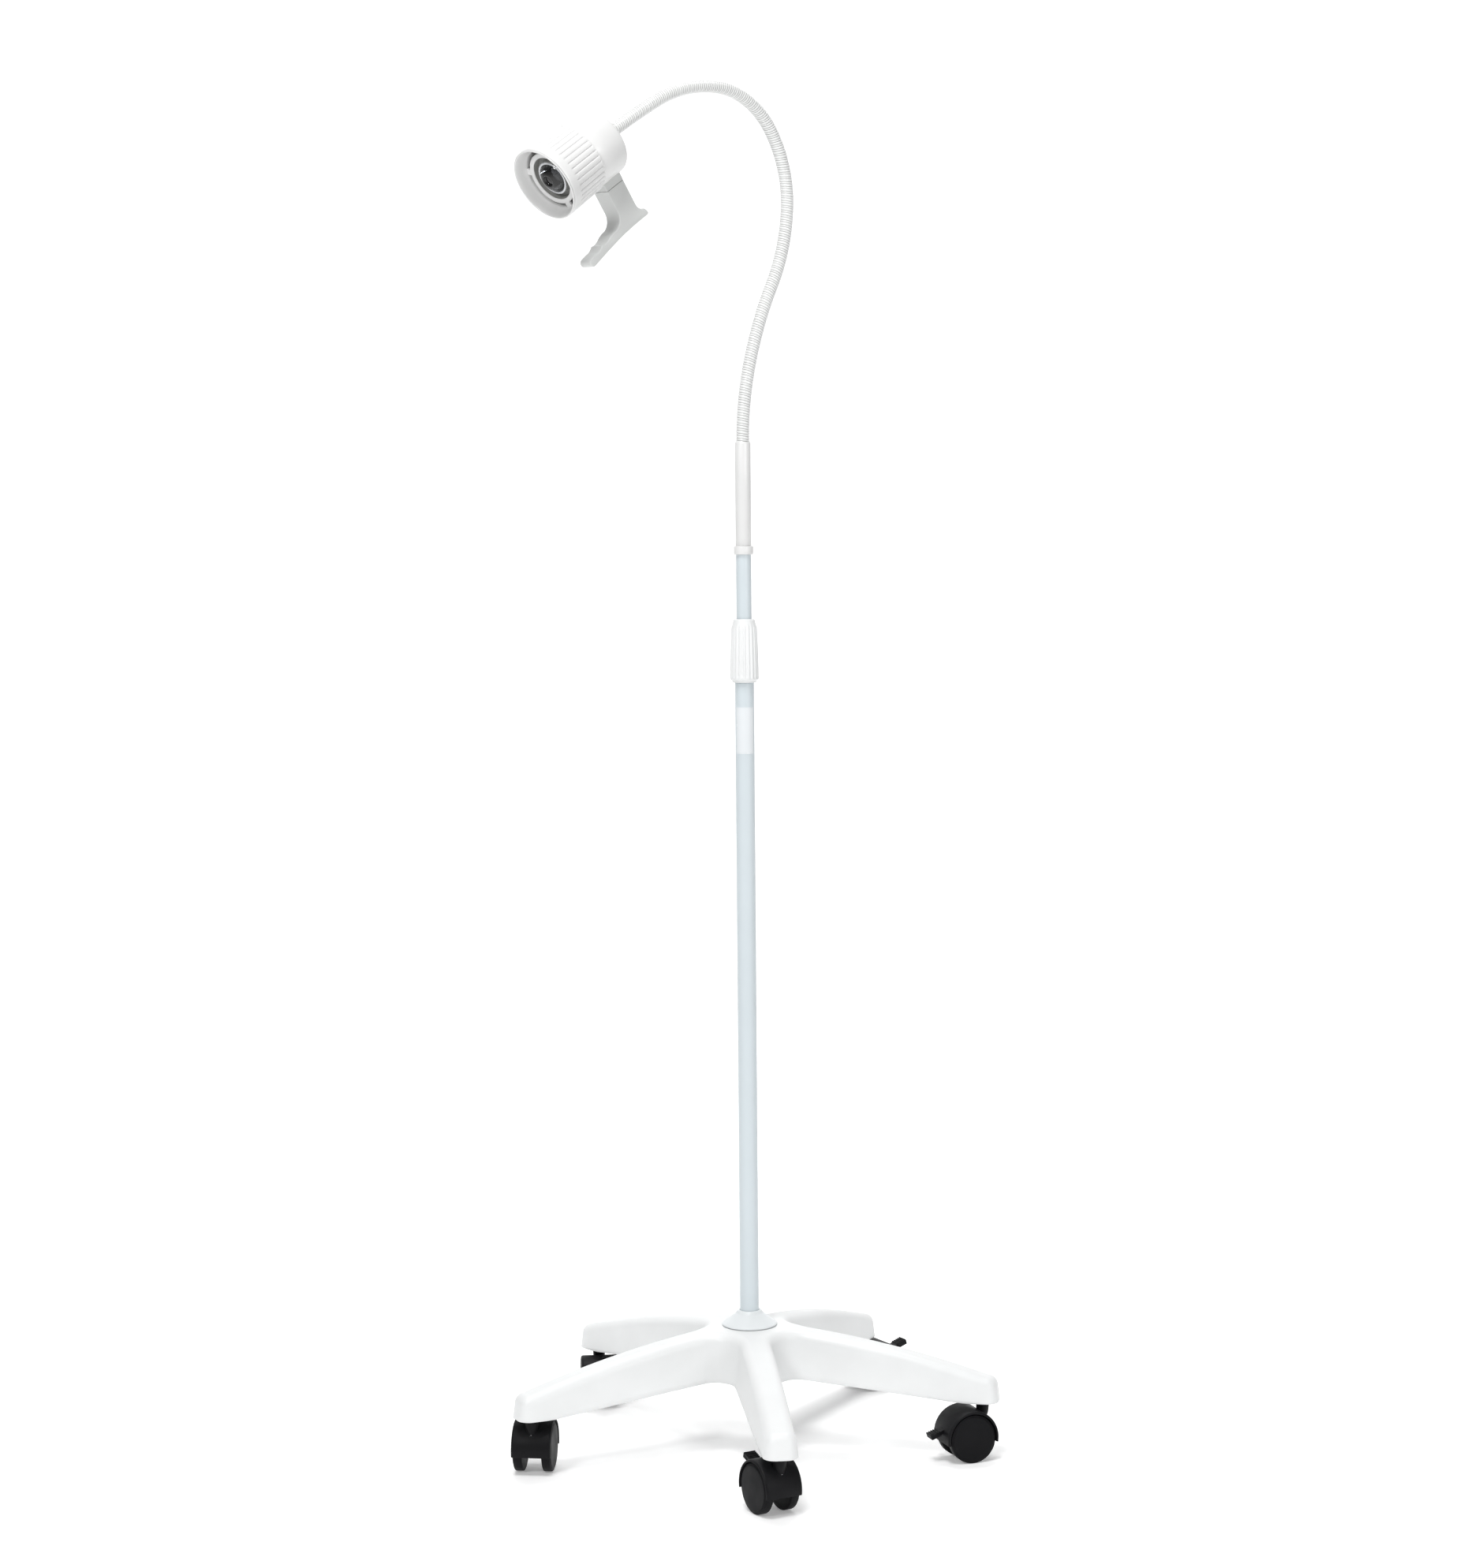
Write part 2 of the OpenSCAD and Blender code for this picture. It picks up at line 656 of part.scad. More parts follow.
module lens() {
    dome_r = 19;
    color(clear) at_head() translate([0, 0, lens_rim_z]) intersection() {
        union() {
            translate([0, 0, -lens_flange]) cylinder(r = lens_r, h = lens_flange, $fn = 96);
            translate([0, 0, -lens_flange - 11])
                cylinder(r1 = 8, r2 = lens_r - 1, h = 11 + eps, $fn = 96);
            cylinder(r = lens_r - 1, h = 12, $fn = 96);
        }
        translate([0, 0, 6 - dome_r]) sphere(r = dome_r + 2, $fn = 96);
    }
}

module led_board() {
    color(board_green) at_head() translate([0, 0, 44]) {
        cylinder(r = 18, h = 1.6, $fn = 96);
        translate([-3.5, -3.5, 1.6]) cube([7, 7, 1]);
        translate([0, 0, 2.6]) sphere(r = 2.6, $fn = 32);
    }
}

module heat_sink() {
    fin_pitch = 7;
    fin_t = 2.4;
    low = 17.5;
    color(steel) at_head() difference() {
        union() {
            translate([0, 0, 38]) cylinder(r = 31, h = 6, $fn = 96);
            intersection() {
                translate([0, 0, low]) cylinder(r = 30, h = 21, $fn = 96);
                for (n = [-4 : 4]) translate([-40, n * fin_pitch - fin_t / 2, low]) cube([80, fin_t, 21]);
            }
            for (a = screw_angles) rotate([0, 0, a]) translate([screw_circle_r, 0, housing_t])
                cylinder(r = 4, h = 36, $fn = 32);
        }
        for (a = screw_angles) rotate([0, 0, a]) translate([screw_circle_r, 0, 0])
            cylinder(r = 1.5, h = 22, $fn = 32);
    }
}

module driver_board() {
    width = 28;
    color(board_green) at_head() translate([0, 0, board_z]) {
        difference() {
            translate([-27, -width / 2, 0]) cube([42, width, 1.6]);
            translate([0, 0, -1]) cylinder(r = 6.5, h = 4, $fn = 48);
        }
        translate([button_x - 3, -3, -5.4]) cube([6, 6, 5.4 + eps]);
        translate([-10, -13.5, -4.5]) cube([7, 6, 4.5 + eps]);
        translate([10, 10, -6]) cylinder(r = 3.2, h = 6 + eps, $fn = 32);
        translate([8, -12, -3]) cube([4, 6, 3 + eps]);
    }
}

module power_button() {
    color(grey) at_head() translate([button_x, 0, 0]) {
        translate([0, 0, -2.2]) cylinder(r = button_r, h = 6.4, $fn = 64);
        translate([0, 0, housing_t]) cylinder(r = button_r + 1.6, h = 1.8, $fn = 64);
        cylinder(r = 1.5, h = board_z - 5.4 - button_travel - 0.1, $fn = 32);
    }
}

module housing_screws() {
    color(steel) at_head() for (a = screw_angles) rotate([0, 0, a])
        translate([screw_circle_r, 0, 0]) {
            translate([0, 0, -0.6]) cylinder(r = 2.9, h = 1.6, $fn = 48);
            translate([0, 0, 0.5]) cylinder(r = 1.5, h = 18, $fn = 32);
        }
}

// block under the rear housing, with a dovetail rail that the grip slides on
module handle_mount() {
    color(grey) at_head() difference() {
        union() {
            translate([30, -grip_w / 2, mount_z]) cube([mount_low - 30, grip_w, mount_len]);
            translate([mount_low, 0, mount_z]) rail(mount_len - 3, 0);
        }
        translate([0, 0, -1]) cylinder(r = housing_r, h = far, $fn = 120);
    }
}

// a dovetail along z, which widens downwards
module rail(length, gap) {
    linear_extrude(length) polygon([[-1, -3.5 - gap], [0, -3.5 - gap], [4 + gap, -6 - gap],
        [4 + gap, 6 + gap], [0, 3.5 + gap], [-1, 3.5 + gap]]);
}

// points of an arc, and of a shallow hollow between two points, in the grip's side view
function grip_arc(at, r, from, to) =
    [for (i = [0 : 10]) let (a = from + (to - from) * i / 10) at + r * [cos(a), sin(a)]];
function hollow(from, to, depth) =
    [for (i = [1 : 5]) let (t = i / 6) from + (to - from) * t + [4 * depth * t * (1 - t), 0]];

// side view of the grip, [down, forwards]: a stem, a heel behind it and a long toe that
// drops away from the head, with two shallow finger hollows
module grip_outline() {
    stem_front = stem_front_z();
    sole_top = grip_low - 8;
    tip = [grip_low + 3.9, head_len - 4.5];
    lip = [grip_low - 6.6, 52];
    ridge = [grip_low - 4.4, 66];
    pad = [grip_low - 1.6, 77];
    polygon(concat(
        [[mount_low, stem_front], [mount_low, mount_z]],
        grip_arc([sole_top - 9, mount_z - 9], 9, 90, 8),
        grip_arc([grip_low - 2.5, -2], 2.5, -150, 0),
        [[grip_low, 22], [grip_low + 2, 44], [grip_low + 3.6, 56], [grip_low + 5.4, 68]],
        grip_arc(tip, 4.5, -8, 170),
        [pad], hollow(pad, ridge, 1.2), [ridge], hollow(ridge, lip, 1.4), [lip],
        grip_arc([sole_top - 14, stem_front + 14], 14, 6, -90)));
}

module handle() {
    tip_w = 17;
    color(grey) at_head() difference() {
        intersection() {
            rotate([90, 0, 0]) translate([0, 0, -grip_w / 2])
                linear_extrude(grip_w) grip_outline();
            rotate([0, 90, 0]) translate([0, 0, mount_low]) linear_extrude(far)
                polygon([[5, -grip_w / 2], [-stem_front_z(), -grip_w / 2],
                    [-head_len - 8, -tip_w / 2], [-head_len - 8, tip_w / 2],
                    [-stem_front_z(), grip_w / 2], [5, grip_w / 2]]);
        }
        translate([mount_low, 0, mount_z - 5]) rail(mount_len + 2.2, 0.15);
    }
}

function stem_front_z() = mount_z + mount_len;

// ================= every node =================

base_star();
hub_cap();
hub_bush();
tube_plug();
hub_bolt();
caster_stems();
lower_tube();
tube_label();
cable_grommet();
lock_body();
lock_collar();
guide_bush();
upper_tube();
mast_ring();
neck_sleeve();
for (i = [0 : LINKS - 1]) {
    link(i);
}
neck_nut();
rear_housing();
front_bezel();
focus_ring();
lens_carrier();
lens();
led_board();
heat_sink();
driver_board();
power_button();
handle_mount();
handle();
housing_screws();
for (k = [0 : LEGS - 1]) {
    caster_hood(k);
    caster_axle(k);
    caster_wheel(k, 1);
    caster_wheel(k, -1);
    caster_brake(k);
}
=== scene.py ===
"""Looks of the mobile examination lamp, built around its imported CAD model."""

import math

import bmesh
import bpy
from mathutils import Matrix, Vector


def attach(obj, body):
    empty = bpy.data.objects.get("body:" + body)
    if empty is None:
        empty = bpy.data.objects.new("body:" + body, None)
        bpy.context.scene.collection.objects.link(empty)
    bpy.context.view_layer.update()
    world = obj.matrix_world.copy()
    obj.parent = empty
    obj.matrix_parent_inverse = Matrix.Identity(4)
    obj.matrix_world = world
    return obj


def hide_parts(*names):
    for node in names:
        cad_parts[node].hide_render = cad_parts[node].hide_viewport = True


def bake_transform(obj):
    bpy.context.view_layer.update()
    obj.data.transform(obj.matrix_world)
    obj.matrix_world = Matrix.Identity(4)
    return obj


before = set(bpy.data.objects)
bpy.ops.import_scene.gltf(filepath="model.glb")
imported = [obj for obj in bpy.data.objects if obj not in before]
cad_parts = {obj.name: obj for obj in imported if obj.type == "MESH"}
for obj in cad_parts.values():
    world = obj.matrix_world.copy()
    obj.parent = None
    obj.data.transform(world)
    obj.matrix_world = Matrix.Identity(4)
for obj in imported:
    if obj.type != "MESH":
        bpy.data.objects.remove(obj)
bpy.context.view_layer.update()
MM = 0.001


# ---------------------------------------------------------------- materials

def new_material(name, colour, rough, **sockets):
    """A Principled material with its uniform values on the shader's own sockets."""
    mat = bpy.data.materials.new(name)
    mat.use_nodes = True
    shader = mat.node_tree.nodes["Principled BSDF"]
    shader.inputs["Base Color"].default_value = (*colour, 1)
    shader.inputs["Roughness"].default_value = rough
    for key, value in sockets.items():
        shader.inputs[key.replace("_", " ")].default_value = value
    return mat, mat.node_tree, shader


def add_node(tree, kind, **inputs):
    made = tree.nodes.new(kind)
    for key, value in inputs.items():
        made.inputs[key.replace("_", " ")].default_value = value
    return made


def noise(tree, scale, detail=3.0, rough=0.55, stretch=None):
    """Noise in object space, which is the row frame in metres."""
    place = add_node(tree, "ShaderNodeTexCoord").outputs["Object"]
    if stretch:
        mapping = add_node(tree, "ShaderNodeMapping")
        mapping.inputs["Scale"].default_value = stretch
        tree.links.new(place, mapping.inputs["Vector"])
        place = mapping.outputs["Vector"]
    made = add_node(tree, "ShaderNodeTexNoise", Scale=scale, Detail=detail, Roughness=rough)
    tree.links.new(place, made.inputs["Vector"])
    return made.outputs["Fac"]


def ramp(tree, source, low, high, at=(0.35, 0.65)):
    """Maps a factor onto two greys or two colours."""
    made = tree.nodes.new("ShaderNodeValToRGB")
    for element, place, value in zip(made.color_ramp.elements, at, (low, high)):
        element.position = place
        element.color = (*value, 1) if isinstance(value, tuple) else (value, value, value, 1)
    tree.links.new(source, made.inputs["Fac"])
    return made.outputs["Color"]


def bump(tree, shader, height, strength, distance, over=None):
    made = add_node(tree, "ShaderNodeBump", Strength=strength, Distance=distance)
    tree.links.new(height, made.inputs["Height"])
    if over:
        tree.links.new(over.outputs["Normal"], made.inputs["Normal"])
    tree.links.new(made.outputs["Normal"], shader.inputs["Normal"])
    return made


def edge_wear(tree, shader, colour_out, worn, size):
    """Mixes the worn colour in along sharp edges, broken up by noise."""
    bevel = add_node(tree, "ShaderNodeBevel", Radius=size)
    bevel.samples = 4
    geometry = add_node(tree, "ShaderNodeNewGeometry")
    dot = tree.nodes.new("ShaderNodeVectorMath")
    dot.operation = "DOT_PRODUCT"
    tree.links.new(bevel.outputs["Normal"], dot.inputs[0])
    tree.links.new(geometry.outputs["Normal"], dot.inputs[1])
    edge = ramp(tree, dot.outputs["Value"], 1.0, 0.0, at=(0.86, 0.985))
    patch = ramp(tree, noise(tree, 160, 4), 0.0, 1.0, at=(0.42, 0.7))
    both = tree.nodes.new("ShaderNodeMath")
    both.operation = "MULTIPLY"
    tree.links.new(edge, both.inputs[0])
    tree.links.new(patch, both.inputs[1])
    mix = tree.nodes.new("ShaderNodeMix")
    mix.data_type = "RGBA"
    tree.links.new(both.outputs[0], mix.inputs["Factor"])
    tree.links.new(colour_out, mix.inputs[6])
    mix.inputs[7].default_value = (*worn, 1)
    tree.links.new(mix.outputs[2], shader.inputs["Base Color"])


def shade(colour, factor):
    return tuple(min(1.0, c * factor) for c in colour)


def moulded(name, colour, rough, grain=900, depth=0.00004, vary=0.03, coat=0.0, wear=None,
            gloss=0.5):
    """Moulded plastic: fine spark-eroded grain, slow mottling, and scuffed edges."""
    mat, tree, shader = new_material(name, colour, rough)
    shader.inputs["Specular IOR Level"].default_value = gloss
    shader.inputs["Coat Weight"].default_value = coat
    shader.inputs["Coat Roughness"].default_value = 0.15
    tone = ramp(tree, noise(tree, 14, 4), shade(colour, 1 - vary), shade(colour, 1 + vary / 2))
    if wear:
        edge_wear(tree, shader, tone, wear, 0.0008)
    else:
        tree.links.new(tone, shader.inputs["Base Color"])
    patches = ramp(tree, noise(tree, 55, 5), max(rough - 0.06, 0.02), rough + 0.08, at=(0.3, 0.7))
    tree.links.new(patches, shader.inputs["Roughness"])
    ripple = bump(tree, shader, noise(tree, 70, 2), 0.12, 0.0002)
    bump(tree, shader, noise(tree, grain, 2), 0.5, depth, over=ripple)
    return mat


def ribbed(name, ridge, groove, rough):
    """Glossy vinyl, with painted shade in the grooves that the mesh marks as "groove"."""
    mat, tree, shader = new_material(name, ridge, rough)
    shader.inputs["Coat Weight"].default_value = 0.4
    shader.inputs["Coat Roughness"].default_value = 0.15
    # Painted shade: where the mesh marks a groove, the colour darkens towards the groove grey, a
    # little unevenly.
    mark = add_node(tree, "ShaderNodeAttribute")
    mark.attribute_name = "groove"
    painted_groove_shade = tree.nodes.new("ShaderNodeMath")
    painted_groove_shade.operation = "MULTIPLY"
    tree.links.new(mark.outputs["Fac"], painted_groove_shade.inputs[0])
    tree.links.new(ramp(tree, noise(tree, 30, 3), 0.8, 1.0), painted_groove_shade.inputs[1])
    tree.links.new(ramp(tree, painted_groove_shade.outputs[0], ridge, groove), shader.inputs["Base Color"])
    bump(tree, shader, noise(tree, 1400, 2), 0.5, 0.00001)
    return mat


def metal(name, colour, rough, scale=400, stretch=None):
    mat, tree, shader = new_material(name, colour, rough, Metallic=1.0)
    tone = ramp(tree, noise(tree, 40, 4), shade(colour, 0.85), colour)
    tree.links.new(tone, shader.inputs["Base Color"])
    streak = noise(tree, scale, 4, stretch=stretch)
    tree.links.new(ramp(tree, streak, rough - 0.08, rough + 0.12), shader.inputs["Roughness"])
    bump(tree, shader, streak, 0.2, 0.00003)
    return mat


WHITE = (0.78, 0.79, 0.79)
MATERIALS = {
    "white_shell": moulded("white_shell", WHITE, 0.42, coat=0.1),
    "white_gloss": moulded("white_gloss", (0.72, 0.72, 0.715), 0.36, grain=1400, depth=0.00001,
                           coat=0.25),
    # The gooseneck's second grey is painted shade for its grooves.
    "gooseneck_skin": ribbed("gooseneck_skin", (0.74, 0.745, 0.74), (0.34, 0.34, 0.33), 0.26),
    "pole_coat": moulded("pole_coat", (0.60, 0.66, 0.69), 0.36, grain=1500, depth=0.00002,
                         vary=0.02, coat=0.15),
    "label_film": moulded("label_film", (0.74, 0.77, 0.79), 0.22, grain=600, depth=0.00001),
    "cap_grey": moulded("cap_grey", (0.72, 0.75, 0.76), 0.33),
    "grip_grey": moulded("grip_grey", (0.62, 0.63, 0.62), 0.45),
    "mount_grey": moulded("mount_grey", (0.58, 0.59, 0.58), 0.48),
    "caster_black": moulded("caster_black", (0.006, 0.006, 0.007), 0.46, grain=1100,
                            depth=0.00009, vary=0.2, wear=(0.03, 0.03, 0.032), gloss=0.13),
    "wheel_black": moulded("wheel_black", (0.005, 0.005, 0.006), 0.5, grain=1300,
                           depth=0.00006, vary=0.2, wear=(0.02, 0.02, 0.022), gloss=0.11),
    # Near black for the LED board and the cup behind the lens: painted shade for the dark inside
    # of the head.
    "inside_painted_shade": moulded("inside_painted_shade", (0.008, 0.008, 0.009), 0.6, gloss=0.2),
    "inner_grey": moulded("inner_grey", (0.30, 0.30, 0.29), 0.45),
    "steel": metal("steel", (0.62, 0.63, 0.65), 0.3),
    "heat_sink_metal": metal("heat_sink_metal", (0.7, 0.71, 0.72), 0.42, stretch=(1, 1, 12)),
    "board": moulded("board", (0.02, 0.12, 0.06), 0.3, vary=0.2),
    "chrome": metal("chrome", (0.62, 0.63, 0.65), 0.24),
}


def lens_material():
    """Transparent moulded polycarbonate, faintly rippled, tinted near black as painted shade for
    the dark inside of the head.
    """
    mat, tree, shader = new_material("lens_clear", (0.04, 0.042, 0.045), 0.02, IOR=1.55)
    shader.inputs["Transmission Weight"].default_value = 1.0
    tree.links.new(ramp(tree, noise(tree, 300, 3), 0.01, 0.06), shader.inputs["Roughness"])
    bump(tree, shader, noise(tree, 90, 2), 0.08, 0.00005)
    return mat


def led_material():
    """The unlit LED's phosphor, with its tiny grain."""
    mat, tree, shader = new_material("led_phosphor", (0.85, 0.72, 0.12), 0.4)
    tone = ramp(tree, noise(tree, 2500, 2), (0.75, 0.60, 0.06), (0.9, 0.78, 0.2))
    tree.links.new(tone, shader.inputs["Base Color"])
    bump(tree, shader, noise(tree, 2500, 2), 0.3, 0.00002)
    return mat


MATERIALS["lens_clear"] = lens_material()
MATERIALS["led_phosphor"] = led_material()


# ---------------------------------------------------------------- mesh helpers

def make_object(name, points, faces, material, smooth=True, place=None, sharp=35, marks=None):
    """A mesh object in metres, from points in millimetres. Marks, from 0 to 1, say how deep in a
    groove each point is."""
    mesh = bpy.data.meshes.new(name)
    mesh.from_pydata([Vector(p) * MM for p in points], [], faces)
    if marks:
        mesh.attributes.new("groove", "FLOAT", "POINT").data.foreach_set("value", marks)
    if place is not None:
        mesh.transform(place)
    clean(mesh)
    mesh.polygons.foreach_set("use_smooth", [smooth] * len(mesh.polygons))
    if smooth:
        mesh.set_sharp_from_angle(angle=math.radians(sharp))
    obj = bpy.data.objects.new(name, mesh)
    bpy.context.scene.collection.objects.link(obj)
    mesh.materials.append(MATERIALS[material])
    return obj


def clean(mesh):
    """Merges doubled points, drops empty faces and points every face outwards."""
    work = bmesh.new()
    work.from_mesh(mesh)
    bmesh.ops.remove_doubles(work, verts=work.verts, dist=1e-7)
    bmesh.ops.dissolve_degenerate(work, edges=work.edges, dist=1e-8)
    bmesh.ops.recalc_face_normals(work, faces=work.faces)
    work.to_mesh(mesh)
    work.free()


def add_piece(obj, body, nodes=()):
    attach(obj, body)
    if nodes:
        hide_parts(*nodes)
    return obj


def grid_faces(rows, columns, wrap_rows=False, wrap_columns=True):
    """Quads between the points of a grid that are listed row by row."""
    faces = []
    for i in range(rows if wrap_rows else rows - 1):
        for j in range(columns if wrap_columns else columns - 1):
            a = i * columns + j
            b = i * columns + (j + 1) % columns
            c = (i + 1) % rows * columns + (j + 1) % columns
            d = (i + 1) % rows * columns + j
            faces.append((a, b, c, d))
    return faces


def lathe(name, outline, material, place=None, segments=96, radius=None, sharp=35):
    """Turns an outline of (r, z) about z. radius(r, z, angle) may change each point's radius.
    The outline closes on itself unless it starts and ends on the axis."""
    radius = radius or (lambda r, z, angle: r)
    open_ends = outline[0][0] == 0 and outline[-1][0] == 0
    points = []
    for r, z in outline:
        for j in range(segments):
            angle = 2 * math.pi * j / segments
            reach = radius(r, z, angle)
            points.append((reach * math.cos(angle), reach * math.sin(angle), z))
    faces = grid_faces(len(outline), segments, wrap_rows=not open_ends)
    return make_object(name, points, faces, material, place=place, sharp=sharp)


def arc_points(centre, radius, start, end, steps=6):
    """Points on an arc, angles in degrees."""
    return [(centre[0] + radius * math.cos(math.radians(start + (end - start) * i / steps)),
             centre[1] + radius * math.sin(math.radians(start + (end - start) * i / steps)))
            for i in range(steps + 1)]


def turned(outline, radius, steps=4):
    """Rounds every corner of a closed outline by up to the given radius."""
    made = []
    for i, corner in enumerate(outline):
        corner = Vector(corner)
        before, after = Vector(outline[i - 1]), Vector(outline[(i + 1) % len(outline)])
        into, out = before - corner, after - corner
        if into.length < 1e-6 or out.length < 1e-6:
            continue
        half = into.angle(out) / 2
        if half > math.radians(84):
            made.append(tuple(corner))
            continue
        reach = min(radius / math.tan(half), 0.45 * min(into.length, out.length))
        a, b = corner + into.normalized() * reach, corner + out.normalized() * reach
        for s in range(steps + 1):
            t = s / steps
            made.append(tuple((1 - t) ** 2 * a + 2 * t * (1 - t) * corner + t ** 2 * b))
    return made


def prism(name, outline, low, high, material, place=None, round_by=0.0, sharp=35):
    """An outline in x and y, drawn out along z from low to high, with its rims rounded."""
    steps = 3 if round_by else 0
    levels = []
    for s in range(steps + 1):
        t = math.pi / 2 * s / max(steps, 1)
        levels.append((low + round_by * (1 - math.sin(t)), round_by * (1 - math.cos(t))))
    levels += [(low + high - z, inset) for z, inset in levels]
    levels.sort()
    points = []
    for z, inset in levels:
        for p in offset_outline(outline, inset):
            points.append((p[0], p[1], z))
    count = len(outline)
    faces = grid_faces(len(levels), count)
    faces.append(tuple(range(count))[::-1])
    faces.append(tuple(range((len(levels) - 1) * count, len(levels) * count)))
    return make_object(name, points, faces, material, place=place, sharp=sharp)


def offset_outline(outline, inset):
    """Moves a counter-clockwise outline's points inwards along their normals."""
    if not inset:
        return outline
    made = []
    for i, p in enumerate(outline):
        before, after = Vector(outline[i - 1]), Vector(outline[(i + 1) % len(outline)])
        p = Vector(p)
        n1 = Vector(((p - before).y, -(p - before).x)).normalized()
        n2 = Vector(((after - p).y, -(after - p).x)).normalized()
        n = n1 + n2
        if n.length < 1e-6:
            made.append(tuple(p))
            continue
        n.normalize()
        made.append(tuple(p - n * inset / max(0.5, n.dot(n1))))
    return made


def bevel_mesh(obj, width, segments=3, angle=40):
    """Rounds an object's sharp edges in its mesh."""
    modifier = obj.modifiers.new("round", "BEVEL")
    modifier.width = width * MM
    modifier.segments = segments
    modifier.limit_method = "ANGLE"
    modifier.angle_limit = math.radians(angle)
    modifier.harden_normals = False
    return obj


# ---------------------------------------------------------------- base

LEGS = 5
BASE_TURN = 6.6
CASTER_CIRCLE_R = 247.0
LEG_FOOT_Z = 59.0
HUB_TOP_Z = 127.5
LEG_TIP_W = 36.0
LEG_ROOT_W = 49.0
LEG_END_R = 264.5
LEG_CORNER_R = 13.0
CROTCH_R = 24.0
HUB_FLAT_R = 42.0
KINK = 11.0
LEG_SLOPE = 6.0
LEG_ARCH_R = 1100.0
ROOT_BOTTOM_Z = 78.0
STAR_WALL = 3.0
HUB_HOLE_R = 20.0
TOP_ROWS = 22


def leg_angle(k):
    return math.radians(-90 + BASE_TURN + 360 / LEGS * k)


def leg_top(r):
    """The star's top: flat at the hub, then an arch that starts at a slope, rounded between."""
    if r < HUB_FLAT_R + KINK:
        drop = math.tan(math.radians(LEG_SLOPE)) * KINK
        share = max(0.0, (r - HUB_FLAT_R + KINK) / (2 * KINK))
        return HUB_TOP_Z - drop * share ** 2
    slope = math.radians(LEG_SLOPE)
    centre_r = HUB_FLAT_R - LEG_ARCH_R * math.sin(slope)
    centre_z = HUB_TOP_Z - LEG_ARCH_R * math.cos(slope)
    return centre_z + math.sqrt(LEG_ARCH_R ** 2 - (r - centre_r) ** 2)


def leg_low(r):
    if r < 60:
        return ROOT_BOTTOM_Z
    return max(LEG_FOOT_Z, ROOT_BOTTOM_Z - (ROOT_BOTTOM_Z - LEG_FOOT_Z) * (r - 60) / 172)


def star_outline():
    """The star's outline as points with their unit normals, one leg after another."""
    half_root, half_tip = LEG_ROOT_W / 2, LEG_TIP_W / 2
    taper = math.atan((half_root - half_tip) / (LEG_END_R - LEG_CORNER_R))
    sector = math.pi / LEGS
    reach = (CROTCH_R + half_root * math.cos(taper)) / math.sin(sector + taper)
    normal = Vector((math.sin(taper), math.cos(taper)))
    centre = reach * Vector((math.cos(sector), math.sin(sector)))
    tangent_x = (centre - CROTCH_R * normal).x
    side_end = LEG_END_R - LEG_CORNER_R
    one = []
    for s in range(25):
        x = tangent_x + (side_end - tangent_x) * s / 24
        side = Vector((x, -(half_root - x * math.tan(taper))))
        one.append((side, Vector((normal.x, -normal.y))))
    corner = Vector((side_end, -(half_tip - LEG_CORNER_R)))
    for s in range(1, 9):
        a = -math.pi / 2 + math.pi / 2 * s / 8
        d = Vector((math.cos(a), math.sin(a)))
        one.append((corner + LEG_CORNER_R * d, d))
    for s in (1, 2):
        y = corner.y * (1 - 2 * s / 3)
        one.append((Vector((LEG_END_R, y)), Vector((1, 0))))
    one += [(Vector((p.x, -p.y)), Vector((d.x, -d.y))) for p, d in one[:-2][::-1]]
    turn = 2 * (math.pi / 2 - sector - taper)
    for s in range(1, 16):
        a = sector + math.pi + turn / 2 - turn * s / 16
        d = Vector((math.cos(a), math.sin(a)))
        one.append((centre + CROTCH_R * d, -d))
    made = []
    for k in range(LEGS):
        spin = Matrix.Rotation(leg_angle(k), 2)
        made += [(spin @ p, spin @ d) for p, d in one]
    return made


def star_section(p, d):
    """Points of the shell on one radial line, from the lip up the outside, over the top to
    the hub and back along the inside."""
    low = leg_low(p.length)
    share = min(max((p.length - 60) / 200, 0), 1)
    draft = 0.17 - 0.05 * share
    ridge = 10.5 + 0.3 * share
    crown_z = leg_top(p.length)
    for _ in range(3):
        inset = draft * (crown_z - ridge - low)
        crown = p - d * (inset + ridge)
        crown_z = leg_top(crown.length)
    wall_top = crown_z - ridge
    points = [(p - d * 0.5, low), (p, low + 0.6)]
    points += [(p - d * inset * s / 6, low + (wall_top - low) * s / 6) for s in range(1, 7)]
    for s in range(1, 9):
        a = math.pi / 2 * s / 8
        at = p - d * (inset + ridge * (1 - math.cos(a)))
        points.append((at, wall_top + ridge * math.sin(a)))
    hub = crown.normalized() * HUB_HOLE_R
    points += [(at, leg_top(at.length)) for at in
               (crown.lerp(hub, s / TOP_ROWS) for s in range(1, TOP_ROWS + 1))]
    edge = p - d * (STAR_WALL + draft * (crown_z - STAR_WALL - low))
    points += [(at, leg_top(at.length) - STAR_WALL) for at in
               (hub.lerp(edge, s / TOP_ROWS) for s in range(TOP_ROWS + 1))]
    inner_top = points[-1][1]
    for s in range(1, 5):
        at = edge.lerp(p - d * STAR_WALL, s / 4)
        points.append((at, inner_top + (low - inner_top) * s / 4))
    return [(at.x, at.y, z) for at, z in points]


def build_star():
    lines = [star_section(p, d) for p, d in star_outline()]
    levels = len(lines[0])
    points = [line[level] for level in range(levels) for line in lines]
    faces = grid_faces(levels, len(lines), wrap_rows=True)
    shell = make_object("star_shell", points, faces, "white_shell", sharp=60)
    add_piece(shell, "base", ["base_star"])
    build_star_inside()


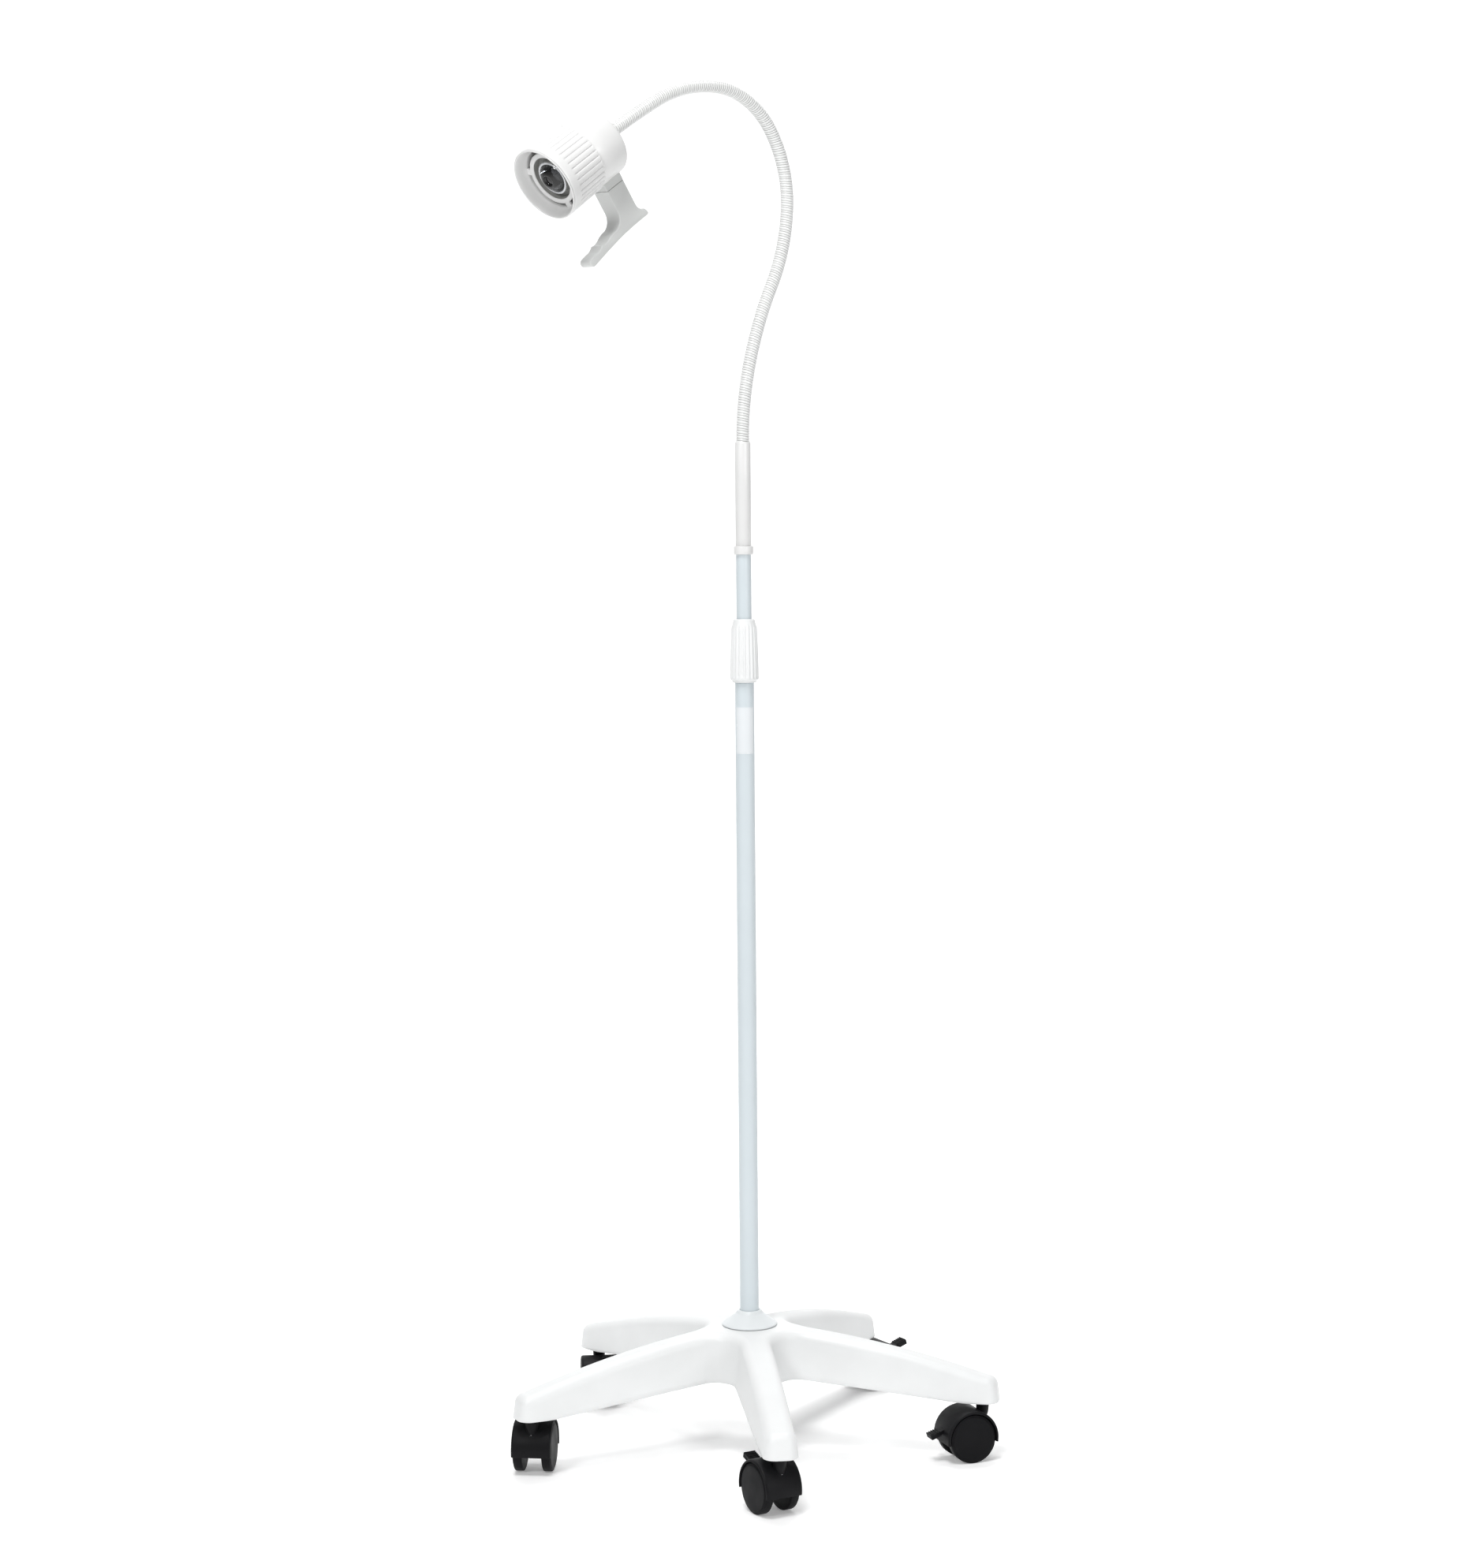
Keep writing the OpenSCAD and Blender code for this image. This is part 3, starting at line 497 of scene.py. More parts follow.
def build_star_inside():
    """Sockets, centre boss and ribs, seen from below."""
    boss = [(16, 84), (25, 84), (27, 86), (27, 124), (16, 124)]
    add_piece(lathe("star_boss", turned(boss, 0.8), "white_shell"), "base")
    for k in range(LEGS):
        spin = Matrix.Rotation(leg_angle(k), 4, "Z")
        place = spin @ Matrix.Translation((CASTER_CIRCLE_R * MM, 0, 0))
        socket = [(5.5, 59.2), (9.4, 59.2), (10, 60), (10, 81), (5.5, 81)]
        name = f"leg_{k + 1}"
        add_piece(lathe(f"{name}_socket", socket, "white_shell", place=place, segments=48),
                  "base")
        for n, r in enumerate((92, 142, 192)):
            half = 19 - 0.03 * r
            rib = rib_plate(f"{name}_rib_{n + 1}", r, half, leg_low(r) + 8, leg_top(r) - 3.2)
            rib.data.transform(spin)
            add_piece(rib, "base")
        keel = keel_plate(f"{name}_keel")
        keel.data.transform(spin)
        add_piece(keel, "base")


def rib_plate(name, r, half, low, high):
    thick = 1.25
    lean = 0.13 * (high - low)
    outline = [(-half, low), (half, low), (half - lean, high), (-half + lean, high)]
    points = [(r + t, y, z) for t in (-thick, thick) for y, z in outline]
    faces = grid_faces(2, 4) + [(3, 2, 1, 0), (4, 5, 6, 7)]
    return bevel_mesh(make_object(name, points, faces, "white_shell", smooth=False), 0.4)


def keel_plate(name):
    """The long rib from the centre boss to the socket, under the leg's arch."""
    thick = 1.25
    count = 12
    first, last = 26, CASTER_CIRCLE_R - 9
    points = []
    for s in range(count + 1):
        r = first + (last - first) * s / count
        for y, z in ((-thick, leg_low(r) + 14), (thick, leg_low(r) + 14),
                     (thick, leg_top(r) - 3.2), (-thick, leg_top(r) - 3.2)):
            points.append((r, y, z))
    faces = grid_faces(count + 1, 4)
    faces += [(3, 2, 1, 0), tuple(range(4 * count, 4 * count + 4))]
    return make_object(name, points, faces, "white_shell", smooth=False)


def build_hub_cap():
    foot = HUB_TOP_Z
    outline = [(10.1, foot + 13), (10.1, foot + 15.6), (10.6, foot + 16.2)]
    outline += [(11.6, foot + 16.2), (12.6, foot + 15.7), (13.4, foot + 14.6)]
    outline += [(14.4, foot + 13.0), (20.5, foot + 8.2), (27.4, foot + 2.9), (28.6, foot + 2.1)]
    outline += [(29, foot + 1.4), (28.9, foot + 0.7), (28.2, foot + 0.5), (27.4, foot + 0.5),
                (27.3, foot + 0.02), (24, foot + 0.02), (13, foot + 9)]
    cap = lathe("hub_cone", turned(outline, 0.5, 2), "cap_grey", segments=128, sharp=50)
    add_piece(cap, "base", ["hub_cap"])


# ---------------------------------------------------------------- casters

HEADINGS = (120, 200, 30, 275, 83)
BRAKE_DOWN = (False, True, False, False, False)
TRAIL = 19.0
WHEEL_R = 25.0
HOOD_R = 28.5
CASTER_W = 41.0
WHEEL_W = 10.5
HOOD_END = 10.0
PIVOT = (31.0, 37.0)
BRAKE_UP = 18.0
BRAKE_TRAVEL = 36.0
BRAKE_W = 11.0


def caster_place(k):
    """The caster's frame: x from the swivel axis to the axle, z up."""
    return (Matrix.Rotation(leg_angle(k), 4, "Z")
            @ Matrix.Translation((CASTER_CIRCLE_R * MM, 0, 0))
            @ Matrix.Rotation(math.radians(HEADINGS[k]) - leg_angle(k), 4, "Z"))


def hood_section():
    """Half of the hood's cross-section as (reach from the axle, distance from the middle)."""
    half, web = CASTER_W / 2, 9.0
    rim = 2.6
    return [(HOOD_R, 0), (HOOD_R, half - 2.2), (HOOD_R - 0.25, half - 1.2),
            (HOOD_R - 0.9, half - 0.35), (HOOD_R - 1.6, half), (HOOD_R - rim + 0.3, half),
            (HOOD_R - rim, half - 0.4), (HOOD_R - rim, web + 0.4), (HOOD_R - rim - 0.5, web),
            (4.0, web), (4.0, 0)]


def build_hood(k, place):
    half = hood_section()
    section = half + [(r, -y) for r, y in half[::-1] if y > 0]
    steps = 60
    points = []
    for s in range(steps + 1):
        a = math.radians(-HOOD_END + (180 + 2 * HOOD_END) * s / steps)
        for r, y in section:
            points.append((TRAIL + r * math.cos(a), y, WHEEL_R + r * math.sin(a)))
    count = len(section)
    faces = grid_faces(steps + 1, count)
    faces += [tuple(range(count))[::-1], tuple(range(steps * count, (steps + 1) * count))]
    hood = make_object(f"caster_{k + 1}_shell", points, faces, "caster_black", place=place,
                       sharp=40)
    add_piece(hood, f"caster_{k + 1}", [f"caster_{k + 1}_hood"])
    build_stem_boss(k, place)


def build_stem_boss(k, place):
    """The black boss under the leg, which narrows down into the hood."""
    rows = [(57.3, 6.7, 6.7), (52, 6.6, 6.6), (48.5, 6.3, 6.4), (45.5, 5.6, 5.9),
            (43, 4.9, 5.2), (40.5, 4.3, 4.5)]
    points = []
    for z, wide, deep in rows:
        for j in range(32):
            a = 2 * math.pi * j / 32
            points.append((deep * math.cos(a) + (57.3 - z) * 0.06, wide * math.sin(a), z))
    faces = grid_faces(len(rows), 32)
    faces += [tuple(range(32))[::-1], tuple(range(32 * (len(rows) - 1), 32 * len(rows)))]
    boss = make_object(f"caster_{k + 1}_stem_boss", points, faces, "caster_black", place=place)
    add_piece(boss, f"caster_{k + 1}")


def build_wheel(k, side, place):
    """A wheel with a soft tread and a slightly dished, matt outer disc."""
    word = "left" if side > 0 else "right"
    outline = [(0, 0.3), (21, 0.3), (24, 0.3), (24.7, 0.6), (25, 1.3), (25, WHEEL_W - 2.4),
               (24.8, WHEEL_W - 1.7), (24.2, WHEEL_W - 1.2), (23.7, WHEEL_W - 1.0),
               (23.5, WHEEL_W - 1.25), (23.2, WHEEL_W - 1.25), (23.0, WHEEL_W - 0.9),
               (22.2, WHEEL_W - 0.45), (21, WHEEL_W - 0.3), (16, WHEEL_W - 0.12),
               (9, WHEEL_W - 0.05), (0, WHEEL_W - 0.03)]
    spin = Matrix.Rotation(math.radians(-90 * side), 4, "X")
    there = (place @ Matrix.Translation((TRAIL * MM, 0, WHEEL_R * MM)) @ spin
             @ Matrix.Translation((0, 0, (CASTER_W / 2 - WHEEL_W) * MM)))
    wheel = lathe(f"caster_{k + 1}_disc_{word}", outline, "wheel_black", place=there,
                  segments=96, sharp=50)
    add_piece(wheel, f"caster_{k + 1}_{word}", [f"caster_{k + 1}_wheel_{word}"])


def build_pedal(k, place):
    """The brake pedal: an arm out of the hood and a ribbed pad."""
    rest = BRAKE_UP - (BRAKE_TRAVEL if BRAKE_DOWN[k] else 0)
    there = (place @ Matrix.Translation((PIVOT[0] * MM, 0, PIVOT[1] * MM))
             @ Matrix.Rotation(math.radians(-rest), 4, "Y"))
    side = [(-3, -1.6), (19, -1.8), (20, -2.7), (31, -2.7), (31.5, -2.2), (31.5, 1.6)]
    for n in range(5):
        x = 31.2 - 2.4 * n
        side += [(x, 2.9), (x - 1.1, 2.9), (x - 1.3, 2.0), (x - 2.2, 2.0)]
    side += [(18.5, 1.8), (-3, 1.8)]
    side = [p for i, p in enumerate(side) if i == 0 or p != side[i - 1]]
    half = BRAKE_W / 2
    points = []
    for y in (-1, 1):
        for x, z in side:
            reach = half + (1 if x > 19 else 0)
            points.append((x, y * reach, z))
    count = len(side)
    faces = grid_faces(2, count) + [tuple(range(count))[::-1], tuple(range(count, 2 * count))]
    pedal = make_object(f"caster_{k + 1}_pedal", points, faces, "caster_black", smooth=False,
                        place=there)
    bevel_mesh(pedal, 0.3, 2)
    add_piece(pedal, f"caster_{k + 1}_pedal", [f"caster_{k + 1}_brake"])


def build_casters():
    for k in range(LEGS):
        place = caster_place(k)
        build_hood(k, place)
        for side in (1, -1):
            build_wheel(k, side, place)
        build_pedal(k, place)


# ---------------------------------------------------------------- pole

COLLAR_Z = 806.0
FLUTES = 20


def build_collar():
    """The lock collar: a slim waist below, a crown of flutes and a plain shoulder."""
    lower = [(12.1, 0), (12.6, 0.2), (12.8, 0.8), (12.8, 1.8), (13.6, 2.2), (14.5, 2.8),
             (15.0, 3.8), (15, 6)]
    upper = [(15 - 0.0032 * (z - 6) ** 1.55, z) for z in range(8, 60, 2)]
    shoulder = [(12.2, 61), (11.7, 64), (11.3, 66), (10.9, 66.8), (10.3, 67), (8.5, 67),
                (8.4, 66.6), (8.4, 63.5), (11, 62), (11.9, 40)]

    def flute(r, z, angle):
        if z < 4.5 or r < 11.95:
            return r
        fade = min((z - 4.5) / 2, 1) * min(max((61 - z) / 5, 0), 1)
        phase = abs((angle / (2 * math.pi) * FLUTES) % 1 - 0.5) * 2
        groove = max(0.0, 1 - (phase / 0.62) ** 2)
        return r - 1.1 * fade * groove

    collar = lathe("collar_grip", lower + upper + shoulder, "white_shell",
                   place=Matrix.Translation((0, 0, COLLAR_Z * MM)), segments=FLUTES * 14,
                   radius=flute, sharp=60)
    add_piece(collar, "collar", ["lock_collar"])


def build_pole():
    build_collar()
    ring = [(8.05, 941), (9.6, 941), (10.1, 941.3), (10.3, 941.9), (10.3, 949.1),
            (10.1, 949.7), (9.6, 950), (8.35, 950), (8.05, 949.8)]
    add_piece(lathe("mast_end_ring", ring, "white_gloss", segments=96), "mast",
              ["mast_ring"])
    sleeve = [(7.0, 950), (8.1, 950), (8.3, 950.3), (8.3, 1058.6), (8.1, 1059.5),
              (7.6, 1060), (7.0, 1060)]
    add_piece(lathe("neck_socket", sleeve, "white_gloss", segments=96), "mast",
              ["neck_sleeve"])


# ---------------------------------------------------------------- gooseneck

NECK_BEARING = 41.0
NECK_TURNS = (-15, -12.5, 24.5, 37.5, 53.5, 31, 5)
LINK_LEN = 87.0
SKIN_R = 7.05
GROOVE_DEPTH = 0.7
NECK_START_Z = 1060.0
PITCH = 5.3
NECK_SIDES = 28
ROWS_A_PITCH = 14


def neck_frames():
    """Slope and place of the chain's plane at the start of every length, and at its end."""
    frames, slope, r, z = [], 0.0, 0.0, NECK_START_Z
    for turn in NECK_TURNS:
        frames.append((math.radians(slope), r, z))
        half = math.radians(turn) / 2
        chord = LINK_LEN * math.sin(half) / half
        middle = math.radians(slope) + half
        r += chord * math.sin(middle)
        z += chord * math.cos(middle)
        slope += turn
    frames.append((math.radians(slope), r, z))
    return frames


FRAMES = neck_frames()
SPIN = Matrix.Rotation(math.radians(180 + NECK_BEARING), 4, "Z")


def neck_place(s):
    """The gooseneck's frame at s millimetres along its middle line."""
    i = min(int(s // LINK_LEN), len(NECK_TURNS) - 1)
    slope, r, z = FRAMES[i]
    part = s - i * LINK_LEN
    turn = math.radians(NECK_TURNS[i]) * part / LINK_LEN
    chord = part * math.sin(turn / 2) / (turn / 2) if part else 0
    r += chord * math.sin(slope + turn / 2)
    z += chord * math.cos(slope + turn / 2)
    return SPIN @ Matrix.Translation((r, 0, z)) @ Matrix.Rotation(slope + turn, 4, "Y")


def groove_depth(s, angle):
    """From 0 to 1. Each turn has two bands, one wider than the other, with a groove between."""
    phase = (s / PITCH + angle / (2 * math.pi)) % 1
    if 0.3 <= phase < 0.7:
        across = (phase - 0.5) / 0.2
    else:
        across = ((phase - 0.7) % 1 - 0.3) / 0.3
    return abs(across) ** 3


def neck_piece(index, first, last):
    """The skin between two places along the gooseneck, shaped round one joint as the chain lies
    now.
    """
    step = PITCH / ROWS_A_PITCH
    low = int((first - PITCH) // step)
    high = int((last + PITCH) // step)
    points, marks = [], []
    for row in range(low, high + 1):
        for j in range(NECK_SIDES):
            angle = 2 * math.pi * j / NECK_SIDES
            s = row * step - PITCH * j / NECK_SIDES
            s = min(max(s, first), last)
            depth = groove_depth(s, angle)
            radius = SKIN_R - GROOVE_DEPTH * depth
            at = neck_place(s) @ Vector((radius * math.cos(angle), radius * math.sin(angle), 0))
            points.append(tuple(at))
            # The same depth also sets the painted shade in the grooves' colour.
            marks.append(depth)
    rows = high - low + 1
    faces = []
    for i in range(rows - 1):
        for j in range(NECK_SIDES):
            shift = ROWS_A_PITCH if j == NECK_SIDES - 1 else 0
            if i < shift:
                continue
            a = i * NECK_SIDES + j
            d = a + NECK_SIDES
            b = (i - shift) * NECK_SIDES + (j + 1) % NECK_SIDES
            faces.append((a, b, b + NECK_SIDES, d))
    return make_object(f"gooseneck_skin_{index}", points, faces, "gooseneck_skin", sharp=80,
                       marks=marks)


def build_gooseneck():
    total = LINK_LEN * len(NECK_TURNS)
    for joint in range(1, len(NECK_TURNS)):
        first = 0.0 if joint == 1 else LINK_LEN * (joint - 0.5)
        last = total if joint == len(NECK_TURNS) - 1 else LINK_LEN * (joint + 0.5)
        piece = neck_piece(joint, first, last)
        reach = 0.44 * LINK_LEN
        start = neck_place(LINK_LEN * joint - reach).translation * MM
        end = neck_place(LINK_LEN * joint + reach).translation * MM
        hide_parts(f"gooseneck_{joint}")
        if joint == len(NECK_TURNS) - 1:
            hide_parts(f"gooseneck_{joint}", f"gooseneck_{joint + 1}")
        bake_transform(piece)


# ---------------------------------------------------------------- head

HEAD_LEN = 89.0
HOUSING_R = 37.5
HOUSING_LEN = 38.0
RING_START = 38.4
RING_END = 87.2
GROOVES = 40
LUGS = (10, 130, 250)
HEAD = neck_place(LINK_LEN * len(NECK_TURNS))
HEAD_PLACE = (Matrix.Translation(HEAD.translation * MM)
              @ HEAD.to_quaternion().to_matrix().to_4x4())


def build_housing():
    outline = [(5.4, 2.4), (5.4, 0.4), (5.8, 0), (30, 0)]
    outline += arc_points((HOUSING_R - 4.5, 4.5), 4.5, -90, 0, 8)
    outline += [(HOUSING_R, 20), (HOUSING_R, HOUSING_LEN - 0.6), (HOUSING_R - 0.3, HOUSING_LEN),
                (36.2, HOUSING_LEN), (36.2, 53), (33.8, 53), (33.8, 2.4)]
    add_piece(lathe("lamp_housing", outline, "white_gloss", place=HEAD_PLACE, segments=128,
                    sharp=50), "head", ["rear_housing"])
    collar = [(6.9, -9), (7.9, -8.4), (8.6, -6.8), (9.4, -3.2), (10.8, -1.1), (12.6, 0.2),
              (6.0, 0.2), (6.0, -9)]
    add_piece(lathe("neck_gland", turned(collar, 0.5, 2), "white_gloss", place=HEAD_PLACE,
                    segments=64, sharp=60), "head")


def build_ring():
    """The focus ring with forty flat-bottomed grooves between slightly rounded lands."""
    outline = [(36.6, RING_START), (38.4, RING_START), (38.8, RING_START + 0.3)]
    outline += [(39.0, RING_START + 0.9)]
    outline += [(39.0 + 1.15 * s / 22, RING_START + 1.2 + 37.5 * s / 22) for s in range(23)]
    outline += [(40.18, 78), (40.2, 80), (40.2, 84), (40.15, 86.2), (39.9, 86.9),
                (39.5, RING_END), (38.4, RING_END), (38.4, 68), (36.6, 68)]

    def groove(r, z, angle):
        if r < 38.7 or z < RING_START + 0.8 or z > 77.2:
            return r
        fade = min(max((77.2 - z) / 1.2, 0), 1)
        phase = abs((angle / (2 * math.pi) * GROOVES + 0.25) % 1 - 0.5) * 2
        cut = 1.0 if phase < 0.16 else max(0.0, 1 - (phase - 0.16) / 0.14)
        crown = 0.22 * max(0.0, phase - 0.3) / 0.7
        return r - fade * (0.95 * cut + (0.22 - crown) * (1 - cut))

    add_piece(lathe("focus_grip", outline, "white_gloss", place=HEAD_PLACE,
                    segments=GROOVES * 16, radius=groove, sharp=50), "focus",
              ["focus_ring"])


def build_bezel():
    outline = [(36.3, 53), (36.3, 68.3), (38.0, 68.3), (38.0, 87.5), (39.1, 87.5),
               (39.8, 87.8), (40.0, 88.2), (39.7, 88.7), (39.1, 89), (38.4, 88.9)]
    outline += [(38.0, 88.4), (37.5, 87.4), (36.8, 86), (36.1, 84), (35.0, 80.8),
                (33.9, 78), (33.2, 77), (33, 76.2), (33, 53)]
    bezel = lathe("front_funnel", outline, "white_gloss", place=HEAD_PLACE, segments=160,
                  sharp=50)
    add_piece(bezel, "head", ["front_bezel"])


def build_carrier():
    """The white ring that carries the lens, its lugs, and the dark well round the lens."""
    outline = [(24.2, 58), (27, 58), (27, 74), (29, 74), (29.1, 76.3), (28.7, 76.9),
               (28.1, 77), (25, 77), (24.3, 76.8), (24, 76.2), (24, 70)]
    add_piece(lathe("lens_flange", turned(outline, 0.3, 2), "white_gloss", place=HEAD_PLACE,
                    segments=128, sharp=50), "carrier", ["lens_carrier"])
    well = [(17.1, 73.5), (17.1, 75.2), (17.5, 75.4), (18.3, 75.4), (18.6, 75.1), (18.6, 68.4),
            (19.4, 68), (23.4, 68), (23.9, 68.5), (23.95, 76), (24.15, 76), (24.15, 65.5),
            (16.3, 65.5), (16.3, 73.5)]
    add_piece(lathe("lens_well", well, "inner_grey", place=HEAD_PLACE, segments=128, sharp=50),
              "carrier")
    bezel_ring = [(15.7, 75.6), (16.2, 76.1), (17.2, 76.2), (18.2, 76.0), (18.6, 75.4),
                  (17.1, 75.3), (15.9, 75.3)]
    add_piece(lathe("lens_rim", turned(bezel_ring, 0.2, 2), "chrome", place=HEAD_PLACE,
                    segments=128, sharp=60), "carrier")
    # The near-black cup behind the lens is painted shade for the dark inside of the head.
    holder = [(3.2, 61.7), (8.9, 61.7), (10.95, 65), (13.7, 69), (16.25, 72.7), (15.95, 72.9),
              (13.3, 69.3), (10.5, 65.4), (8.35, 62.35), (3.2, 62.35)]
    add_piece(lathe("lens_holder", holder, "inside_painted_shade", place=HEAD_PLACE, segments=64,
                    sharp=40), "carrier")
    for n, angle in enumerate(LUGS):
        spin = HEAD_PLACE @ Matrix.Rotation(math.radians(angle), 4, "Z")
        outline = [(28.4, -3.6), (35.6, -3.6), (35.6, 3.6), (28.4, 3.6)]
        lug = prism(f"carrier_lug_{n + 1}", turned(outline, 0.8, 3), 74.3, 77.1, "white_gloss",
                    place=spin, round_by=0.4)
        add_piece(lug, "carrier")


def build_lens():
    """The collimator: a dome in front, a cone behind and a round well in its middle."""
    centre_z, reach = 62.5, 21.0
    outline = [(0, 62.7), (4, 62.7), (8, 62.6), (10.2, 65.5), (13, 69.5), (15.9, 73.3),
               (16.2, 73.5), (16.95, 73.6), (16.95, 74.7), (16.5, 75.4), (16.0, 76.0)]
    outline += [(reach * math.sin(math.radians(a)), centre_z + reach * math.cos(math.radians(a)))
                for a in (48, 44, 39, 34, 29, 24, 20)]
    outline += [(6.4, 82.3), (5.8, 82.0), (5.2, 80.6), (4.6, 80.1), (2.4, 80.5), (0, 80.7)]
    # The lens's near-black tint is painted shade for the dark inside of the head.
    lens = lathe("lens_dome", outline, "lens_clear", place=HEAD_PLACE, segments=96, sharp=40)
    add_piece(lens, "carrier", ["lens"])


def build_led():
    # The near-black LED board is painted shade for the dark inside of the head.
    board = [(0, 44), (17.6, 44), (18, 44.3), (18, 45.3), (17.7, 45.6), (0, 45.6)]
    add_piece(lathe("led_disc", board, "inside_painted_shade", place=HEAD_PLACE, segments=64), "head",
              ["led_board"])
    emitter = turned([(-3.4, -3.4), (3.4, -3.4), (3.4, 3.4), (-3.4, 3.4)], 0.4, 2)
    add_piece(prism("led_base", emitter, 45.6, 46.4, "steel", place=HEAD_PLACE, round_by=0.15),
              "head")
    dome = [(0, 46.3), (2.5, 46.3)] + arc_points((0, 46.6), 2.5, 0, 90, 8)
    dome[-1] = (0, dome[-1][1])
    add_piece(lathe("led_dome", dome, "led_phosphor", place=HEAD_PLACE, segments=32), "head")


# ---------------------------------------------------------------- grip

MOUNT_Z = 5.5
MOUNT_LEN = 25.0
MOUNT_LOW = 44.0
GRIP_LOW = 91.0
GRIP_W = 22.5
TOE_W = 17.0


def hollow(start, end, depth, steps=6):
    """Points of a shallow finger hollow between two points of the side view."""
    return [(start[0] + (end[0] - start[0]) * t, start[1] + (end[1] - start[1]) * t
             + 4 * depth * t * (1 - t)) for t in (s / steps for s in range(1, steps))]


def grip_side():
    """The grip in side view as (z, x down), counter-clockwise from the top of its back."""
    back, front = MOUNT_Z, MOUNT_Z + MOUNT_LEN
    sole, sole_top = GRIP_LOW, GRIP_LOW - 8
    pad, ridge, lip = (77.5, sole - 1.5), (66, sole - 4.6), (52.5, sole - 6.6)
    side = [(back, MOUNT_LOW + 0.3), (back, MOUNT_LOW + 14)]
    side += arc_points((back - 9, sole_top - 9), 9, 0, 80, 8)
    side += [(-3.0, sole - 6.2), (-3.9, sole - 4.4)]
    side += arc_points((-1.9, sole - 2.4), 2.4, 205, 95, 5)
    side += [(10, sole), (22, sole + 0.2), (33, sole + 0.8), (44, sole + 2.0), (56, sole + 3.6),
             (68, sole + 5.5), (78, sole + 7.2)]
    side += arc_points((HEAD_LEN - 4.6, sole + 3.8), 4.6, 98, -72, 12)
    side += [pad] + hollow(pad, ridge, 1.2) + [ridge] + hollow(ridge, lip, 1.5) + [lip]
    side += arc_points((front + 14, sole_top - 14), 14, 84, 180, 12)
    side += [(front, MOUNT_LOW + 14), (front, MOUNT_LOW + 0.3)]
    return side


def build_grip():
    """The grip drawn from its side view, narrower at the toe, with rounded rims."""
    flat = grip_side()[::-1]
    rim, steps = 1.3, 4
    points = []
    for sign in (-1, 1):
        for s in range(steps + 1):
            turn = math.pi / 2 * (s if sign < 0 else steps - s) / steps
            for z, x in offset_outline(flat, rim * (1 - math.sin(turn))):
                along = (z - MOUNT_Z - MOUNT_LEN) / (HEAD_LEN - MOUNT_Z - MOUNT_LEN)
                narrow = min(max(along, 0), 1)
                half = GRIP_W / 2 + (TOE_W - GRIP_W) / 2 * narrow
                points.append((x, sign * (half - rim * (1 - math.cos(turn))), z))
    count = len(flat)
    rows = len(points) // count
    faces = grid_faces(rows, count)
    faces += [tuple(range(count))[::-1], tuple(range((rows - 1) * count, rows * count))]
    grip = make_object("hand_grip", points, faces, "grip_grey", place=HEAD_PLACE, sharp=38)
    add_piece(grip, "head", ["handle"])


def build_grip_mount():
    """The block that the grip hangs from, shaped to the housing."""
    steps = 16
    half = GRIP_W / 2
    points = []
    for z in (MOUNT_Z, MOUNT_Z + MOUNT_LEN):
        for s in range(steps + 1):
            y = -half + GRIP_W * s / steps
            points.append((math.sqrt((HOUSING_R - 0.05) ** 2 - y * y), y, z))
        for s in range(steps + 1):
            y = half - GRIP_W * s / steps
            points.append((MOUNT_LOW, y, z))
    count = 2 * (steps + 1)
    faces = grid_faces(2, count) + [tuple(range(count))[::-1], tuple(range(count, 2 * count))]
    block = make_object("grip_mount", points, faces, "mount_grey", smooth=False,
                        place=HEAD_PLACE)
    bevel_mesh(block, 0.6, 3)
    add_piece(block, "head", ["handle_mount"])


def build_head():
    build_housing()
    build_ring()
    build_bezel()
    build_carrier()
    build_lens()
    build_led()
    build_grip()
    build_grip_mount()


# ---------------------------------------------------------------- carried-over CAD nodes

NODE_MATERIALS = {
    "lower_tube": "pole_coat", "upper_tube": "pole_coat", "tube_label": "label_film",
    "hub_bush": "steel", "tube_plug": "steel", "hub_bolt": "steel", "caster_stems": "steel",
    "cable_grommet": "caster_black", "lock_body": "mount_grey", "guide_bush": "mount_grey",
    "neck_nut": "steel", "heat_sink": "heat_sink_metal", "driver_board": "board",
    "power_button": "mount_grey", "housing_screws": "steel",
}


def dress_nodes():
    names = dict(NODE_MATERIALS)
    names.update({f"caster_{n}_axle": "steel" for n in range(1, LEGS + 1)})
    for node, material in names.items():
        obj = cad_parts[node]
        obj.data.materials.clear()
        obj.data.materials.append(MATERIALS[material])


# ---------------------------------------------------------------- floor, light and camera

